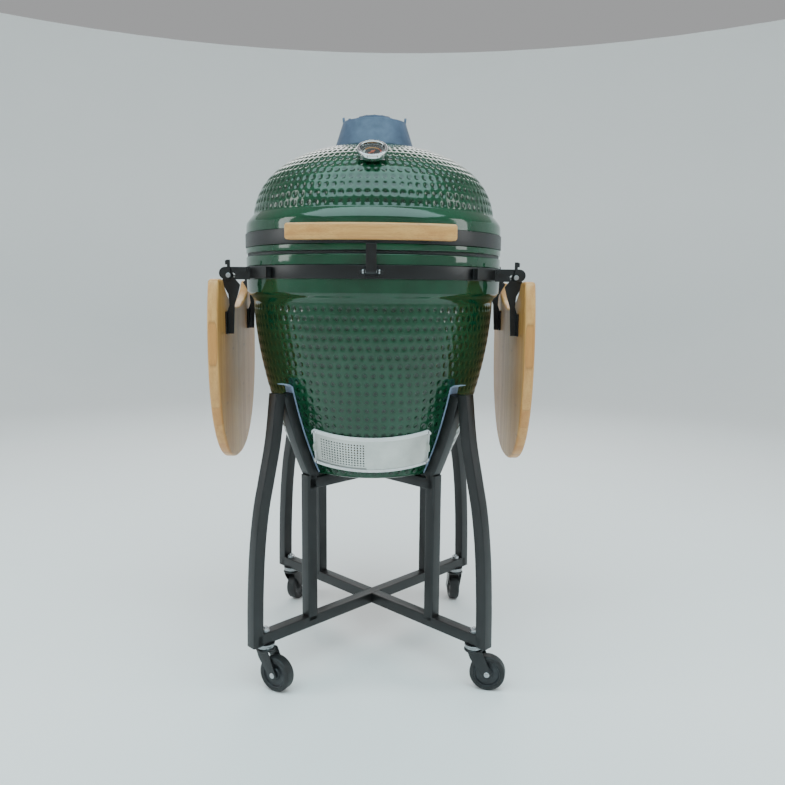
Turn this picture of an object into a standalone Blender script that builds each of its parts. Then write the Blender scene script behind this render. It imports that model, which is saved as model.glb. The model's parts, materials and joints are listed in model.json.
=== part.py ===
"""Kamado ceramic grill on a four-legged stand with casters, as separate parts.

Metres, +Z up. The floor is z = 0, the egg's axis is the Z axis and the front faces -Y.
"""
import math

import bmesh
import bpy
from mathutils import Matrix, Vector

# ---- Driving dimensions: the egg ----
EGG_BOTTOM = 0.440        # underside of the ceramic above the floor
RIM_PLANE = 0.9095        # plane where the two gaskets meet
EGG_R = 0.283             # outer radius of both rims
WALL = 0.021              # ceramic wall
FLOOR_T = 0.025           # ceramic floor
BODY_STEP = 0.0155        # the body is this much smaller than the rim
BODY_TOP = RIM_PLANE - 0.0975
BODY_FOOT_R = 0.170       # radius where the body meets its flat foot
BODY_POWER = 1.65
FOOT_ROUND = 0.006
DOME_STEP = 0.0165
DOME_CENTRE = RIM_PLANE + 0.0655
DOME_FOOT = RIM_PLANE + 0.087
DOME_RISE = 0.175
DOME_POWER = 2.3
CHIMNEY_R = 0.052         # hole in the top of the dome
GASKET_T = 0.003
SEAT_DEPTH = 0.0015       # the bands sit this deep in the rims
STEPS = 40                # facets round the egg
GAP = 0.0003              # between touching pieces
ARC_GAP = 0.0008          # between arcs whose facets don't line up

# ---- Bands, handle and latch ----
BAND_T = 0.0025
LID_BAND_Z = RIM_PLANE + 0.0165
LID_BAND_H = 0.029
BASE_BAND_Z = RIM_PLANE - 0.0505
BASE_BAND_H = 0.026
HANDLE_LENGTH = 0.322
HANDLE_H = 0.030
HANDLE_T = 0.023
HANDLE_REACH = 0.077      # from the rim to the handle's front face
HANDLE_BOW = 0.030
HANDLE_Z = RIM_PLANE + 0.0185
HANDLE_ARM_X = 0.115
ARM_T = 0.004
LATCH_W = 0.020
LATCH_PLATE_W = 0.050
LATCH_PIN_R = 0.0025

# ---- Rear hinge ----
HINGE_Y = EGG_R + 0.055
HINGE_EAR_R = 0.022
HINGE_PIN_R = 0.005
HINGE_HALF = 0.062        # outer face of the base bracket's ears
HINGE_PLATE = 0.004
SPRING_R = 0.014

# ---- Top vent ----
CAP_FOOT_R = 0.087
CAP_TOP_R = 0.070
CAP_H = 0.056
CAP_MOUTH_R = 0.040
DISC_R = 0.047
DISC_T = 0.007
DISC_PIVOT_X = -0.0545
WHEEL_R = 0.038
WHEEL_T = 0.006
VENT_HOLE_R = 0.009
VENT_HOLE_PITCH_R = 0.022
VENT_BOLT_R = 0.003

# ---- Thermometer ----
THERMO_Z = RIM_PLANE + 0.1855
THERMO_R = 0.030
PROBE_R = 0.004
PROBE_LENGTH = 0.055
NEEDLE_REST = 135.0       # degrees that the cold needle stands to the left of the top

# ---- Draft vent (lengths up the cone, angles from the front about the vent's own axis) ----
DRAFT_Z = EGG_BOTTOM + 0.058
DRAFT_TILT = 20.0         # degrees that the vent's axis leans forwards, so its ends curl up
DRAFT_HALF_H = 0.0425
DRAFT_HALF_ANGLE = 35.0
PANEL_END = 33.6          # outer end of the door and the screen
PANEL_SEAM = -2.6         # where the door meets the screen
PANEL_HALF_H = 0.0365
WINDOW_HALF_ANGLE = 30.0
WINDOW_HALF_H = 0.030
SEAT_GAP = 0.0002         # how far the flat seat in the ceramic lies outside the cone
PORT_HALF_ANGLE = 17.0
PORT_HALF_H = 0.024
SHEET = 0.001

# ---- Inside ----
FIRE_GAP = 0.006
FIRE_WALL = 0.018
FIRE_BOX_TOP = BODY_TOP - 0.112
FIRE_RING_TOP = RIM_PLANE - 0.0495
GRATE_Z = EGG_BOTTOM + 0.090
GRID_T = 0.008

# ---- Side shelves ----
SHELF_X = 0.025           # from the rim to the inner face of the board
SHELF_T = 0.022
SHELF_HALF = 0.2175
PIVOT_Z = BASE_BAND_Z + 0.0065
SHELF_TOP = PIVOT_Z - 0.0085
SHELF_CENTRE_Z = SHELF_TOP - 0.130
SHELF_DROP = 0.270
NOTCH_DEPTH = 0.060
NOTCH_HALF = 0.145
SHELF_POWER = 2.3
PIVOT_X = 0.018           # from the rim to the shelf's rod
ROD_R = 0.003
ROD_TRAVEL = 0.008
SLEEVE_R = 0.0047
BAR_Y = 0.128
BAR_T = 0.004
BAR_REACH = 0.039         # from the rim to the bar's outer end
GUSSET_T = 0.003
TAIL_LENGTH = 0.032
TAIL_W = 0.006
STOP_X = 0.0365           # stop bolt inboard of the rod, just past the tail's sweep
STOP_RISE = 0.0115
STOP_R = 0.004
PAD_TOP = SHELF_TOP - 0.067
PAD_H = 0.047
PAD_W = 0.036

# ---- Stand ----
TUBE = 0.025
APEX_Z = EGG_BOTTOM + 0.202
FELT = 0.004
BOTTOM_TUBE_Z = 0.098
CROSS_Z = EGG_BOTTOM - 0.030
POST_L = BODY_FOOT_R + 0.021   # middle of the inner post along the diagonal
FOOT_REACH = 0.067        # from the rim radius to the leg's outer face
CASTER_L = EGG_R + 0.029  # caster stem along the diagonal
WHEEL_RADIUS = 0.0375
WHEEL_WIDTH = 0.025
TRAIL = 0.030
AXLE_R = 0.005
KINGPIN_R = 0.004
FORK_PLATE = 0.0025
RACE_R = 0.020
# side of the leg on X, on Y, and the way the caster trails at rest
CORNERS = {
    "front_left": (-1, -1, -31.0),
    "front_right": (1, -1, -13.0),
    "rear_right": (1, 1, 94.0),
    "rear_left": (-1, 1, 63.0),
}

for leftover in list(bpy.data.objects):
    bpy.data.objects.remove(leftover, do_unlink=True)

PARTS = bpy.data.collections.new("kamado_grill")
CUTTERS = bpy.data.collections.new("cutters")
bpy.context.scene.collection.children.link(PARTS)
bpy.context.scene.collection.children.link(CUTTERS)


# ---- Materials ----
def material(name, colour, roughness, metallic=0.0):
    made = bpy.data.materials.new(name)
    made.use_nodes = True
    shader = made.node_tree.nodes["Principled BSDF"]
    shader.inputs["Base Color"].default_value = (*colour, 1.0)
    shader.inputs["Roughness"].default_value = roughness
    shader.inputs["Metallic"].default_value = metallic
    made.diffuse_color = (*colour, 1.0)
    return made


GLAZE = material("green_glaze", (0.012, 0.085, 0.030), 0.15)
FIRE_CLAY = material("fire_clay", (0.55, 0.45, 0.33), 0.9)
FELT_BLACK = material("gasket_felt", (0.02, 0.02, 0.02), 0.95)
POWDER_COAT = material("black_powder_coat", (0.015, 0.015, 0.015), 0.5)
CAST_IRON = material("painted_cast_iron", (0.11, 0.16, 0.23), 0.6, 0.3)
GRATE_IRON = material("bare_cast_iron", (0.03, 0.03, 0.03), 0.7, 0.6)
BAMBOO = material("laminated_bamboo", (0.62, 0.38, 0.16), 0.5)
STAINLESS = material("brushed_stainless", (0.55, 0.55, 0.53), 0.35, 1.0)
CHROME = material("chrome", (0.75, 0.75, 0.76), 0.1, 1.0)
DIAL_PRINT = material("dial_black", (0.02, 0.02, 0.02), 0.4)
NEEDLE_PAINT = material("needle_orange", (0.75, 0.18, 0.03), 0.4)
LENS = material("lens_glass", (0.9, 0.95, 0.95), 0.03)
RUBBER = material("grey_rubber", (0.03, 0.03, 0.033), 0.7)


# ---- Making meshes ----
def add_object(name, mesh, look, collection=None):
    made = bpy.data.objects.new(name, mesh)
    (collection or PARTS).objects.link(made)
    if look is not None:
        mesh.materials.append(look)
    return made


def smooth_shading(mesh):
    mesh.shade_smooth()
    mesh.set_sharp_from_angle(angle=math.radians(35))


def finish_bmesh(name, shape, look, matrix=None, collection=None):
    bmesh.ops.recalc_face_normals(shape, faces=shape.faces)
    mesh = bpy.data.meshes.new(name)
    shape.to_mesh(mesh)
    shape.free()
    smooth_shading(mesh)
    made = add_object(name, mesh, look, collection)
    if matrix is not None:
        made.matrix_world = matrix
    return made


def turned(name, outline, look, steps=STEPS, matrix=None, collection=None):
    """A full turn of a closed outline of (radius, z) points."""
    mesh = bpy.data.meshes.new(name)
    count = len(outline)
    edges = [(i, (i + 1) % count) for i in range(count)]
    on_axis = [i for i in range(count) if outline[i][0] == 0 and outline[(i + 1) % count][0] == 0]
    edges = [edge for edge in edges if edge[0] not in on_axis]
    mesh.from_pydata([(r, 0.0, z) for r, z in outline], edges, [])
    made = add_object(name, mesh, look, collection)
    screw = made.modifiers.new("turn", "SCREW")
    screw.steps = steps
    screw.render_steps = steps
    screw.use_merge_vertices = True
    screw.merge_threshold = 0.00001
    screw.use_smooth_shade = True
    if matrix is not None:
        made.matrix_world = matrix
    return made


def arc(name, outline, start, end, look, step=3.0, collection=None, matrix=None):
    """A closed outline of (radius, z) points swept from one angle to another about Z."""
    shape = bmesh.new()
    turn = Matrix.Rotation(math.radians(start), 4, "Z")
    corners = [shape.verts.new(turn @ Vector((r, 0.0, z))) for r, z in outline]
    face = shape.faces.new(corners)
    count = max(1, round((end - start) / step))
    bmesh.ops.spin(shape, geom=[face, *face.verts, *face.edges], axis=(0, 0, 1), cent=(0, 0, 0),
                   angle=math.radians(end - start), steps=count, use_duplicate=False)
    return finish_bmesh(name, shape, look, matrix, collection)


def plate(name, loops, thickness, look, matrix, bevel=0.0, collection=None):
    """A flat outline with holes, centred on its own XY plane and placed by a matrix."""
    curve = bpy.data.curves.new(name, "CURVE")
    curve.dimensions = "2D"
    curve.fill_mode = "BOTH"
    curve.extrude = thickness / 2
    for loop in loops:
        spline = curve.splines.new("POLY")
        spline.points.add(len(loop) - 1)
        spline.use_cyclic_u = True
        for point, (x, y) in zip(spline.points, loop):
            point.co = (x, y, 0.0, 1.0)
    guide = bpy.data.objects.new(name + "_curve", curve)
    CUTTERS.objects.link(guide)
    bpy.context.view_layer.update()
    drawn = bpy.data.meshes.new_from_object(guide.evaluated_get(bpy.context.evaluated_depsgraph_get()))
    bpy.data.objects.remove(guide, do_unlink=True)
    shape = bmesh.new()
    shape.from_mesh(drawn)
    bpy.data.meshes.remove(drawn)
    bmesh.ops.remove_doubles(shape, verts=shape.verts, dist=0.00001)
    bmesh.ops.dissolve_limit(shape, angle_limit=0.001, verts=shape.verts, edges=shape.edges)
    made = finish_bmesh(name, shape, look, matrix, collection)
    if bevel:
        soften(made, bevel)
    return made


def box(name, low, high, look, matrix=None, collection=None):
    shape = bmesh.new()
    size = Vector(high) - Vector(low)
    middle = (Vector(high) + Vector(low)) / 2
    bmesh.ops.create_cube(shape, size=1.0, matrix=Matrix.Translation(middle) @ Matrix.Diagonal((*size, 1.0)))
    return finish_bmesh(name, shape, look, matrix, collection)


def rod(name, start, end, radius, look, sides=12, collection=None):
    """A round bar between two points."""
    start, end = Vector(start), Vector(end)
    run = end - start
    place = Matrix.Translation((start + end) / 2) @ run.to_track_quat("Z", "Y").to_matrix().to_4x4()
    shape = bmesh.new()
    bmesh.ops.create_cone(shape, cap_ends=True, segments=sides, radius1=radius, radius2=radius,
                          depth=run.length, matrix=place)
    return finish_bmesh(name, shape, look, collection=collection)


def headed_pin(name, middle, axis, half, radius, head, head_t, look, sides=12):
    """A pin with a head at each end; half is from its middle to the inside of a head."""
    end = half + head_t
    outline = [(head, end), (head, half), (radius, half), (radius, -half), (head, -half), (head, -end),
               (0.0, -end), (0.0, end)]
    place = Matrix.Translation(middle) @ Vector(axis).to_track_quat("Z", "Y").to_matrix().to_4x4()
    return turned(name, outline, look, sides, place)


def soften(made, width, segments=1):
    bevel = made.modifiers.new("soft_edges", "BEVEL")
    bevel.width = width
    bevel.segments = segments
    bevel.limit_method = "ANGLE"
    bevel.angle_limit = math.radians(40)


def combine(target, other, operation):
    """Add, cut or keep the overlap of two objects; the second becomes a hidden cutter."""
    for collection in list(other.users_collection):
        collection.objects.unlink(other)
    CUTTERS.objects.link(other)
    other.hide_render = True
    other.display_type = "WIRE"
    modifier = target.modifiers.new(operation.lower(), "BOOLEAN")
    modifier.operation = operation
    modifier.solver = "EXACT"
    modifier.object = other
    return target


def join(target, *others):
    for other in others:
        combine(target, other, "UNION")
    return target


def cut(target, *others):
    for other in others:
        combine(target, other, "DIFFERENCE")
    return target


# ---- Drawing outlines ----
def circle(radius, centre=(0.0, 0.0), count=32, start=0.0, end=360.0):
    """Points of a circle, or of an arc that includes both ends."""
    closed = abs(end - start) >= 360.0
    parts = count if closed else count - 1
    turns = [math.radians(start + (end - start) * i / parts) for i in range(count)]
    return [(centre[0] + radius * math.cos(t), centre[1] + radius * math.sin(t)) for t in turns]


def smooth(points, per=4):
    """A Catmull-Rom curve through the points, ends included."""
    padded = [points[0], *points, points[-1]]
    curve = []
    for i in range(1, len(padded) - 2):
        before, here, after, beyond = (Vector(p) for p in padded[i - 1:i + 3])
        for k in range(per):
            t = k / per
            bend = (2 * here + (after - before) * t
                    + (2 * before - 5 * here + 4 * after - beyond) * t * t
                    + (3 * here - before - 3 * after + beyond) * t ** 3)
            curve.append(tuple(bend / 2))
    return curve + [tuple(points[-1])]


def upright(angle, radius=0.0, z=0.0):
    """A plane that stands on the direction of an angle: its X runs outwards and its Y runs up."""
    turn = Matrix.Rotation(math.radians(angle), 4, "Z")
    stand = Matrix.Rotation(math.radians(90), 4, "X")
    return turn @ Matrix.Translation((radius, 0.0, z)) @ stand


def steps_between(low, high, count):
    return [low + (high - low) * i / (count - 1) for i in range(count)]


# ---- The egg's surfaces ----
BODY_R = EGG_R - BODY_STEP
DOME_R = EGG_R - DOME_STEP
BODY_DEPTH = (BODY_TOP - EGG_BOTTOM - FOOT_ROUND) / (
    1 - (BODY_FOOT_R / BODY_R) ** BODY_POWER) ** (1 / BODY_POWER)
BASE_TOP = RIM_PLANE - GAP / 2 - GASKET_T - GAP
LID_BOTTOM = RIM_PLANE + GAP / 2 + GASKET_T + GAP
RIM_IN = EGG_R - WALL
SEAT_R = EGG_R - SEAT_DEPTH
BAND_IN = SEAT_R + GAP
BAND_OUT = BAND_IN + BAND_T
FOOT_IN = BAND_OUT + ARC_GAP


def body_radius(z):
    return BODY_R * (1 - ((BODY_TOP - z) / BODY_DEPTH) ** BODY_POWER) ** (1 / BODY_POWER)


def body_offset(z, distance):
    """The point that lies a distance outside the body's surface."""
    slope = (body_radius(z + 0.0005) - body_radius(z - 0.0005)) / 0.001
    length = math.hypot(1.0, slope)
    return body_radius(z) + distance / length, z - distance * slope / length


def dome_point(angle, inset=0.0):
    """A point of the dome's profile: 0 degrees is its foot, 90 degrees its top."""
    turn = math.radians(angle)
    power = 2 / DOME_POWER
    return ((DOME_R - inset) * math.cos(turn) ** power,
            DOME_CENTRE + (DOME_RISE - inset) * math.sin(turn) ** power)


def dome_height(radius, inset=0.0):
    share = 1 - (radius / (DOME_R - inset)) ** DOME_POWER
    return DOME_CENTRE + (DOME_RISE - inset) * share ** (1 / DOME_POWER)


def dome_angle(radius, inset=0.0):
    return math.degrees(math.acos((radius / (DOME_R - inset)) ** (DOME_POWER / 2)))


def make_base_shell():
    levels = steps_between(BODY_TOP - 0.006, EGG_BOTTOM + FOOT_ROUND, 8)
    lip = 0.0005
    outline = [(EGG_R - 0.002, BASE_TOP), (EGG_R, BASE_TOP - 0.002)]
    outline += [(EGG_R, BASE_BAND_Z + BASE_BAND_H + lip * 2), (SEAT_R, BASE_BAND_Z + BASE_BAND_H + lip)]
    outline += [(SEAT_R, BASE_BAND_Z - lip), (EGG_R - 0.0005, BASE_BAND_Z - lip * 2)]
    outline += [(EGG_R - 0.001, BODY_TOP + 0.026), (EGG_R - 0.006, BODY_TOP + 0.012)]
    outline.append((BODY_R + 0.001, BODY_TOP + 0.002))
    outline += [(body_radius(z), z) for z in levels]
    outline += [(BODY_FOOT_R - FOOT_ROUND, EGG_BOTTOM), (0.0, EGG_BOTTOM), (0.0, EGG_BOTTOM + FLOOR_T)]
    inner = steps_between(EGG_BOTTOM + FLOOR_T, BODY_TOP - 0.006, 5)
    outline += [(body_radius(z) - WALL, z) for z in inner]
    outline += [(RIM_IN, BODY_TOP + 0.015), (RIM_IN, BASE_TOP)]
    shell = turned("base_shell", outline, GLAZE)
    cut(shell, draft_port("shell_port", PORT_HALF_ANGLE, PORT_HALF_H), draft_seat())
    return shell


def make_lid_shell():
    probe = thermometer_place()
    top = dome_angle(CHIMNEY_R)
    foot = math.degrees(math.asin(((DOME_FOOT - DOME_CENTRE) / DOME_RISE) ** (DOME_POWER / 2)))
    outline = [dome_point(a) for a in steps_between(top, foot, 8)]
    outline += [(DOME_R + 0.006, DOME_FOOT - 0.006), (EGG_R - 0.004, DOME_FOOT - 0.0155)]
    outline += [(EGG_R - 0.0008, DOME_FOOT - 0.026), (EGG_R - 0.0005, LID_BAND_Z + LID_BAND_H + 0.001)]
    outline += [(SEAT_R, LID_BAND_Z + LID_BAND_H + 0.0005), (SEAT_R, LID_BAND_Z - 0.0005)]
    outline += [(EGG_R, LID_BAND_Z - 0.001), (EGG_R, LID_BOTTOM + 0.002), (EGG_R - 0.002, LID_BOTTOM)]
    outline += [(RIM_IN, LID_BOTTOM), (RIM_IN, DOME_CENTRE - 0.030)]
    outline += [dome_point(a, WALL) for a in steps_between(0.0, dome_angle(CHIMNEY_R, WALL), 5)]
    shell = turned("lid_shell", outline, GLAZE)
    hole = turned("probe_hole", [(PROBE_R + 0.0008, 0.06), (PROBE_R + 0.0008, -0.06), (0, -0.06), (0, 0.06)],
                  None, 16, probe, CUTTERS)
    cut(shell, hole)
    return shell


def ring(name, inner, outer, low, high, look, steps=STEPS, matrix=None, collection=None):
    outline = [(outer, high), (outer, low), (inner, low), (inner, high)]
    return turned(name, outline, look, steps, matrix, collection)


def make_gaskets_and_bands():
    inset = 0.003
    below, above = RIM_PLANE - GAP / 2, RIM_PLANE + GAP / 2
    ring("base_gasket", RIM_IN + inset, EGG_R - inset, below - GASKET_T, below, FELT_BLACK)
    ring("lid_gasket", RIM_IN + inset, EGG_R - inset, above, above + GASKET_T, FELT_BLACK)
    ring("base_band", BAND_IN, BAND_OUT, BASE_BAND_Z, BASE_BAND_Z + BASE_BAND_H, POWDER_COAT)
    ring("lid_band", BAND_IN, BAND_OUT, LID_BAND_Z, LID_BAND_Z + LID_BAND_H, POWDER_COAT)


def band_foot(name, angle, half, low, high, look=POWDER_COAT, thickness=0.003):
    """A pressed plate that hugs the outside of a band."""
    outline = [(FOOT_IN, low), (FOOT_IN + thickness, low), (FOOT_IN + thickness, high), (FOOT_IN, high)]
    return arc(name, outline, angle - half, angle + half, look)


# ---- Inside the egg ----
def fire_radius(z):
    return body_radius(z) - WALL - FIRE_GAP


def make_fire_parts():
    low = EGG_BOTTOM + FLOOR_T + GAP
    levels = steps_between(FIRE_BOX_TOP, low, 4)
    outline = [(fire_radius(z), z) for z in levels] + [(0.0, low), (0.0, low + FIRE_WALL)]
    inner = steps_between(low + FIRE_WALL, FIRE_BOX_TOP, 3)
    outline += [(fire_radius(z) - FIRE_WALL, z) for z in inner]
    fire_box = turned("fire_box", outline, FIRE_CLAY)
    cut(fire_box, draft_port("fire_port", PORT_HALF_ANGLE, PORT_HALF_H - 0.004, 0.08))
    rim = fire_radius(FIRE_BOX_TOP)
    ring("fire_ring", rim - FIRE_WALL, rim, FIRE_BOX_TOP + GAP, FIRE_RING_TOP, FIRE_CLAY)
    grate("charcoal_grate", fire_radius(GRATE_Z) - FIRE_WALL - 0.002, GRATE_Z, 7, 0.010, GRATE_IRON)
    grate("cooking_grid", rim - 0.002, FIRE_RING_TOP + GAP, 12, 0.005, GRATE_IRON)


def slot_outline(left, right, radius, low_side):
    """The opening between two bars, between the middle bar and the grate's ring."""
    across = steps_between(left, right, 3)
    far = [(x, math.sqrt(radius ** 2 - x ** 2)) for x in across]
    loop = [(left, low_side), *far, (right, low_side)]
    return loop


def grate(name, radius, z, slots, bar, look):
    """A round cast grate with parallel slots on each side of a middle bar."""
    field = radius - 0.012
    pitch = 2 * (field - 0.012) / slots
    start = -pitch * slots / 2
    loops = [circle(radius, count=STEPS)]
    for i in range(slots):
        left = start + i * pitch + bar / 2
        right = left + pitch - bar
        upper = slot_outline(left, right, field, bar)
        loops.append(upper)
        loops.append([(x, -y) for x, y in upper])
    plate(name, loops, GRID_T, look, Matrix.Translation((0, 0, z + GRID_T / 2)))


# ---- Draft vent ----
FRONT = -90.0
DRAFT_SLOPE = (body_radius(DRAFT_Z + 0.0005) - body_radius(DRAFT_Z - 0.0005)) / 0.001
VENT_TILT = math.radians(DRAFT_TILT)
VENT_LEAN = math.atan(DRAFT_SLOPE) - VENT_TILT    # of the vent's side against its own axis
VENT_R = body_radius(DRAFT_Z) * math.cos(VENT_LEAN) / math.cos(math.atan(DRAFT_SLOPE))
VENT_MIDDLE = (0.0, VENT_R * math.cos(VENT_TILT) - body_radius(DRAFT_Z),
               DRAFT_Z + VENT_R * math.sin(VENT_TILT))
VENT_PLACE = Matrix.Translation(VENT_MIDDLE) @ Matrix.Rotation(VENT_TILT, 4, "X")
CONE_UP = Vector((math.sin(VENT_LEAN), math.cos(VENT_LEAN)))
CONE_OUT = Vector((CONE_UP.y, -CONE_UP.x))


def cone_outline(points):
    """Points given up the vent's side and outwards from it become (radius, z) about the vent's axis."""
    return [tuple(Vector((VENT_R, 0.0)) + CONE_UP * up + CONE_OUT * out) for up, out in points]


def vent_arc(name, outline, start, end, look, step=5.0, collection=None):
    """An outline swept round the vent's axis between two angles from the front."""
    return arc(name, cone_outline(outline), FRONT + start, FRONT + end, look, step, collection, VENT_PLACE)


def slab(half_height, inner, outer):
    return [(-half_height, inner), (-half_height, outer), (half_height, outer), (half_height, inner)]


def draft_port(name, half_angle, half_height, depth=0.05):
    return vent_arc(name, slab(half_height, -depth, 0.01), -half_angle, half_angle, None, 3.4, CUTTERS)


def draft_seat():
    """Takes away the little ceramic that would stand in front of the vent's upper corners."""
    reach = DRAFT_HALF_ANGLE + 1.5
    outline = slab(DRAFT_HALF_H + 0.003, SEAT_GAP, 0.02)
    return vent_arc("vent_seat", outline, -reach, reach, None, 3.65, CUTTERS)


def make_draft_vent():
    back = (0.0006, 0.0006 + SHEET)
    screen = (back[1] + 0.0004, back[1] + 0.0004 + SHEET * 0.8)
    door = (screen[1] + 0.0004, screen[1] + 0.0004 + SHEET)
    lip = (door[1] + 0.0004, door[1] + 0.0004 + SHEET)
    top, edge, web = DRAFT_HALF_H, DRAFT_HALF_H - 0.009, DRAFT_HALF_H - 0.002
    half = [(0.0, back[0]), (top, back[0]), (top, lip[1]), (edge, lip[1]), (edge, lip[0]), (web, lip[0]),
            (web, back[1]), (0.0, back[1])]
    lower = [(-up, out) for up, out in reversed(half[1:-1])]
    profile = half[1:-1] + lower
    frame = vent_arc("draft_frame", profile, -DRAFT_HALF_ANGLE, DRAFT_HALF_ANGLE, STAINLESS)
    window = vent_arc("draft_window", slab(WINDOW_HALF_H, -0.003, back[1] + 0.0002), -WINDOW_HALF_ANGLE,
                      WINDOW_HALF_ANGLE, None, 5.0, CUTTERS)
    cut(frame, window)
    panel("draft_door", door, PANEL_SEAM + 0.2, PANEL_END, 1)
    panel("draft_screen", screen, -PANEL_END, PANEL_SEAM - 0.2, -1)


def panel(name, layer, start, end, side):
    """A sliding sheet with a pull tab bent out at its outer end."""
    sheet = vent_arc(name, slab(PANEL_HALF_H, *layer), start, end, STAINLESS)
    tab_end = end if side > 0 else start
    tab = vent_arc(name + "_tab", slab(0.012, layer[0], 0.0125), min(tab_end, tab_end - side * 0.5),
                   max(tab_end, tab_end - side * 0.5), STAINLESS)
    join(sheet, tab)


# ---- Top vent ----
CAP_FOOT_Z = dome_height(CAP_FOOT_R) + GAP
CAP_TOP_Z = CAP_FOOT_Z + CAP_H


def make_top_vent():
    under = 0.0012
    spigot = CHIMNEY_R - 0.003
    outline = [(CAP_MOUTH_R, CAP_TOP_Z), (CAP_TOP_R - 0.001, CAP_TOP_Z), (CAP_TOP_R, CAP_TOP_Z - 0.002)]
    outline += [(CAP_FOOT_R - 0.0005, CAP_FOOT_Z + 0.003), (CAP_FOOT_R, CAP_FOOT_Z)]
    outline += [(r, dome_height(r) + under) for r in (CAP_FOOT_R - 0.004, CHIMNEY_R + 0.001)]
    outline += [(spigot, dome_height(CHIMNEY_R) + under), (spigot, dome_height(CHIMNEY_R) - 0.030)]
    outline += [(spigot - 0.004, dome_height(CHIMNEY_R) - 0.030), (spigot - 0.004, CAP_FOOT_Z + 0.012)]
    outline += [(CAP_TOP_R - 0.009, CAP_TOP_Z - 0.006), (CAP_MOUTH_R, CAP_TOP_Z - 0.005)]
    body = turned("vent_cap_body", outline, CAST_IRON, 32)
    ear_x = CAP_TOP_R - 0.0055
    for side in (-1, 1):
        low = (min(side * ear_x, side * (ear_x + 0.005)), -0.004, CAP_TOP_Z - 0.004)
        high = (max(side * ear_x, side * (ear_x + 0.005)), 0.004, CAP_TOP_Z + 0.013)
        join(body, box("cap_ear", low, high, CAST_IRON))
    join(body, rod("cap_pivot", (DISC_PIVOT_X, 0, CAP_TOP_Z - 0.003),
                   (DISC_PIVOT_X, 0, CAP_TOP_Z + DISC_T + 0.002), 0.0028, CAST_IRON, 12))
    disc_low = CAP_TOP_Z + GAP
    tab = DISC_R + 0.009
    circle_part = circle(DISC_R, count=31, start=-168, end=168)
    tongue = circle(0.0058, (DISC_PIVOT_X, 0), 7, 90, 270)
    tab_points = [(DISC_R * 0.985, -0.006), (tab, -0.004), (tab, 0.004), (DISC_R * 0.985, 0.006)]
    rim = [p for p in circle_part if not (p[0] > DISC_R * 0.98)]
    lower = [p for p in rim if p[1] < 0]
    upper = [p for p in rim if p[1] > 0]
    loops = [lower + tab_points + upper + tongue, circle(0.0032, (DISC_PIVOT_X, 0), 12)]
    loops += vent_holes()
    plate("vent_cap_disc", loops, DISC_T, CAST_IRON, Matrix.Translation((0, 0, disc_low + DISC_T / 2)))
    wheel_low = disc_low + DISC_T + GAP
    wheel_loops = [scalloped(WHEEL_R, 0.0015, 12, 4), *vent_holes()]
    plate("daisy_wheel", wheel_loops, WHEEL_T, CAST_IRON, Matrix.Translation((0, 0, wheel_low + WHEEL_T / 2)))
    bolt_top = wheel_low + WHEEL_T + GAP
    # the bolt is tapped into the disc and ends flush, so that it clears the cap when the disc swings
    outline = [(0.0062, bolt_top + 0.005), (0.0062, bolt_top), (VENT_BOLT_R, bolt_top),
               (VENT_BOLT_R, disc_low + GAP), (0.0, disc_low + GAP), (0.0, bolt_top + 0.005)]
    turned("daisy_bolt", outline, CHROME, 12)


def vent_holes():
    """Four vent holes and the bolt hole."""
    loops = [circle(VENT_BOLT_R + 0.0006, count=12)]
    for quarter in range(4):
        turn = math.radians(45 + 90 * quarter)
        middle = (VENT_HOLE_PITCH_R * math.cos(turn), VENT_HOLE_PITCH_R * math.sin(turn))
        loops.append(circle(VENT_HOLE_R, middle, 12))
    return loops


def scalloped(radius, depth, lobes, per):
    """A circle whose edge waves in and out, with some points for each wave."""
    points = []
    for i in range(lobes * per):
        turn = math.tau * i / (lobes * per)
        reach = radius - depth * (1 - math.cos(lobes * turn)) / 2
        points.append((reach * math.cos(turn), reach * math.sin(turn)))
    return points


# ---- Thermometer ----
def thermometer_place():
    """On the front of the dome, square to its surface."""
    share = 1 - ((THERMO_Z - DOME_CENTRE) / DOME_RISE) ** DOME_POWER
    radius = DOME_R * share ** (1 / DOME_POWER)
    along_r = (radius / DOME_R) ** (DOME_POWER - 1) / DOME_R
    along_z = ((THERMO_Z - DOME_CENTRE) / DOME_RISE) ** (DOME_POWER - 1) / DOME_RISE
    lean = math.atan2(along_r, along_z)
    return Matrix.Translation((0, -radius, THERMO_Z)) @ Matrix.Rotation(lean, 4, "X")


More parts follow.
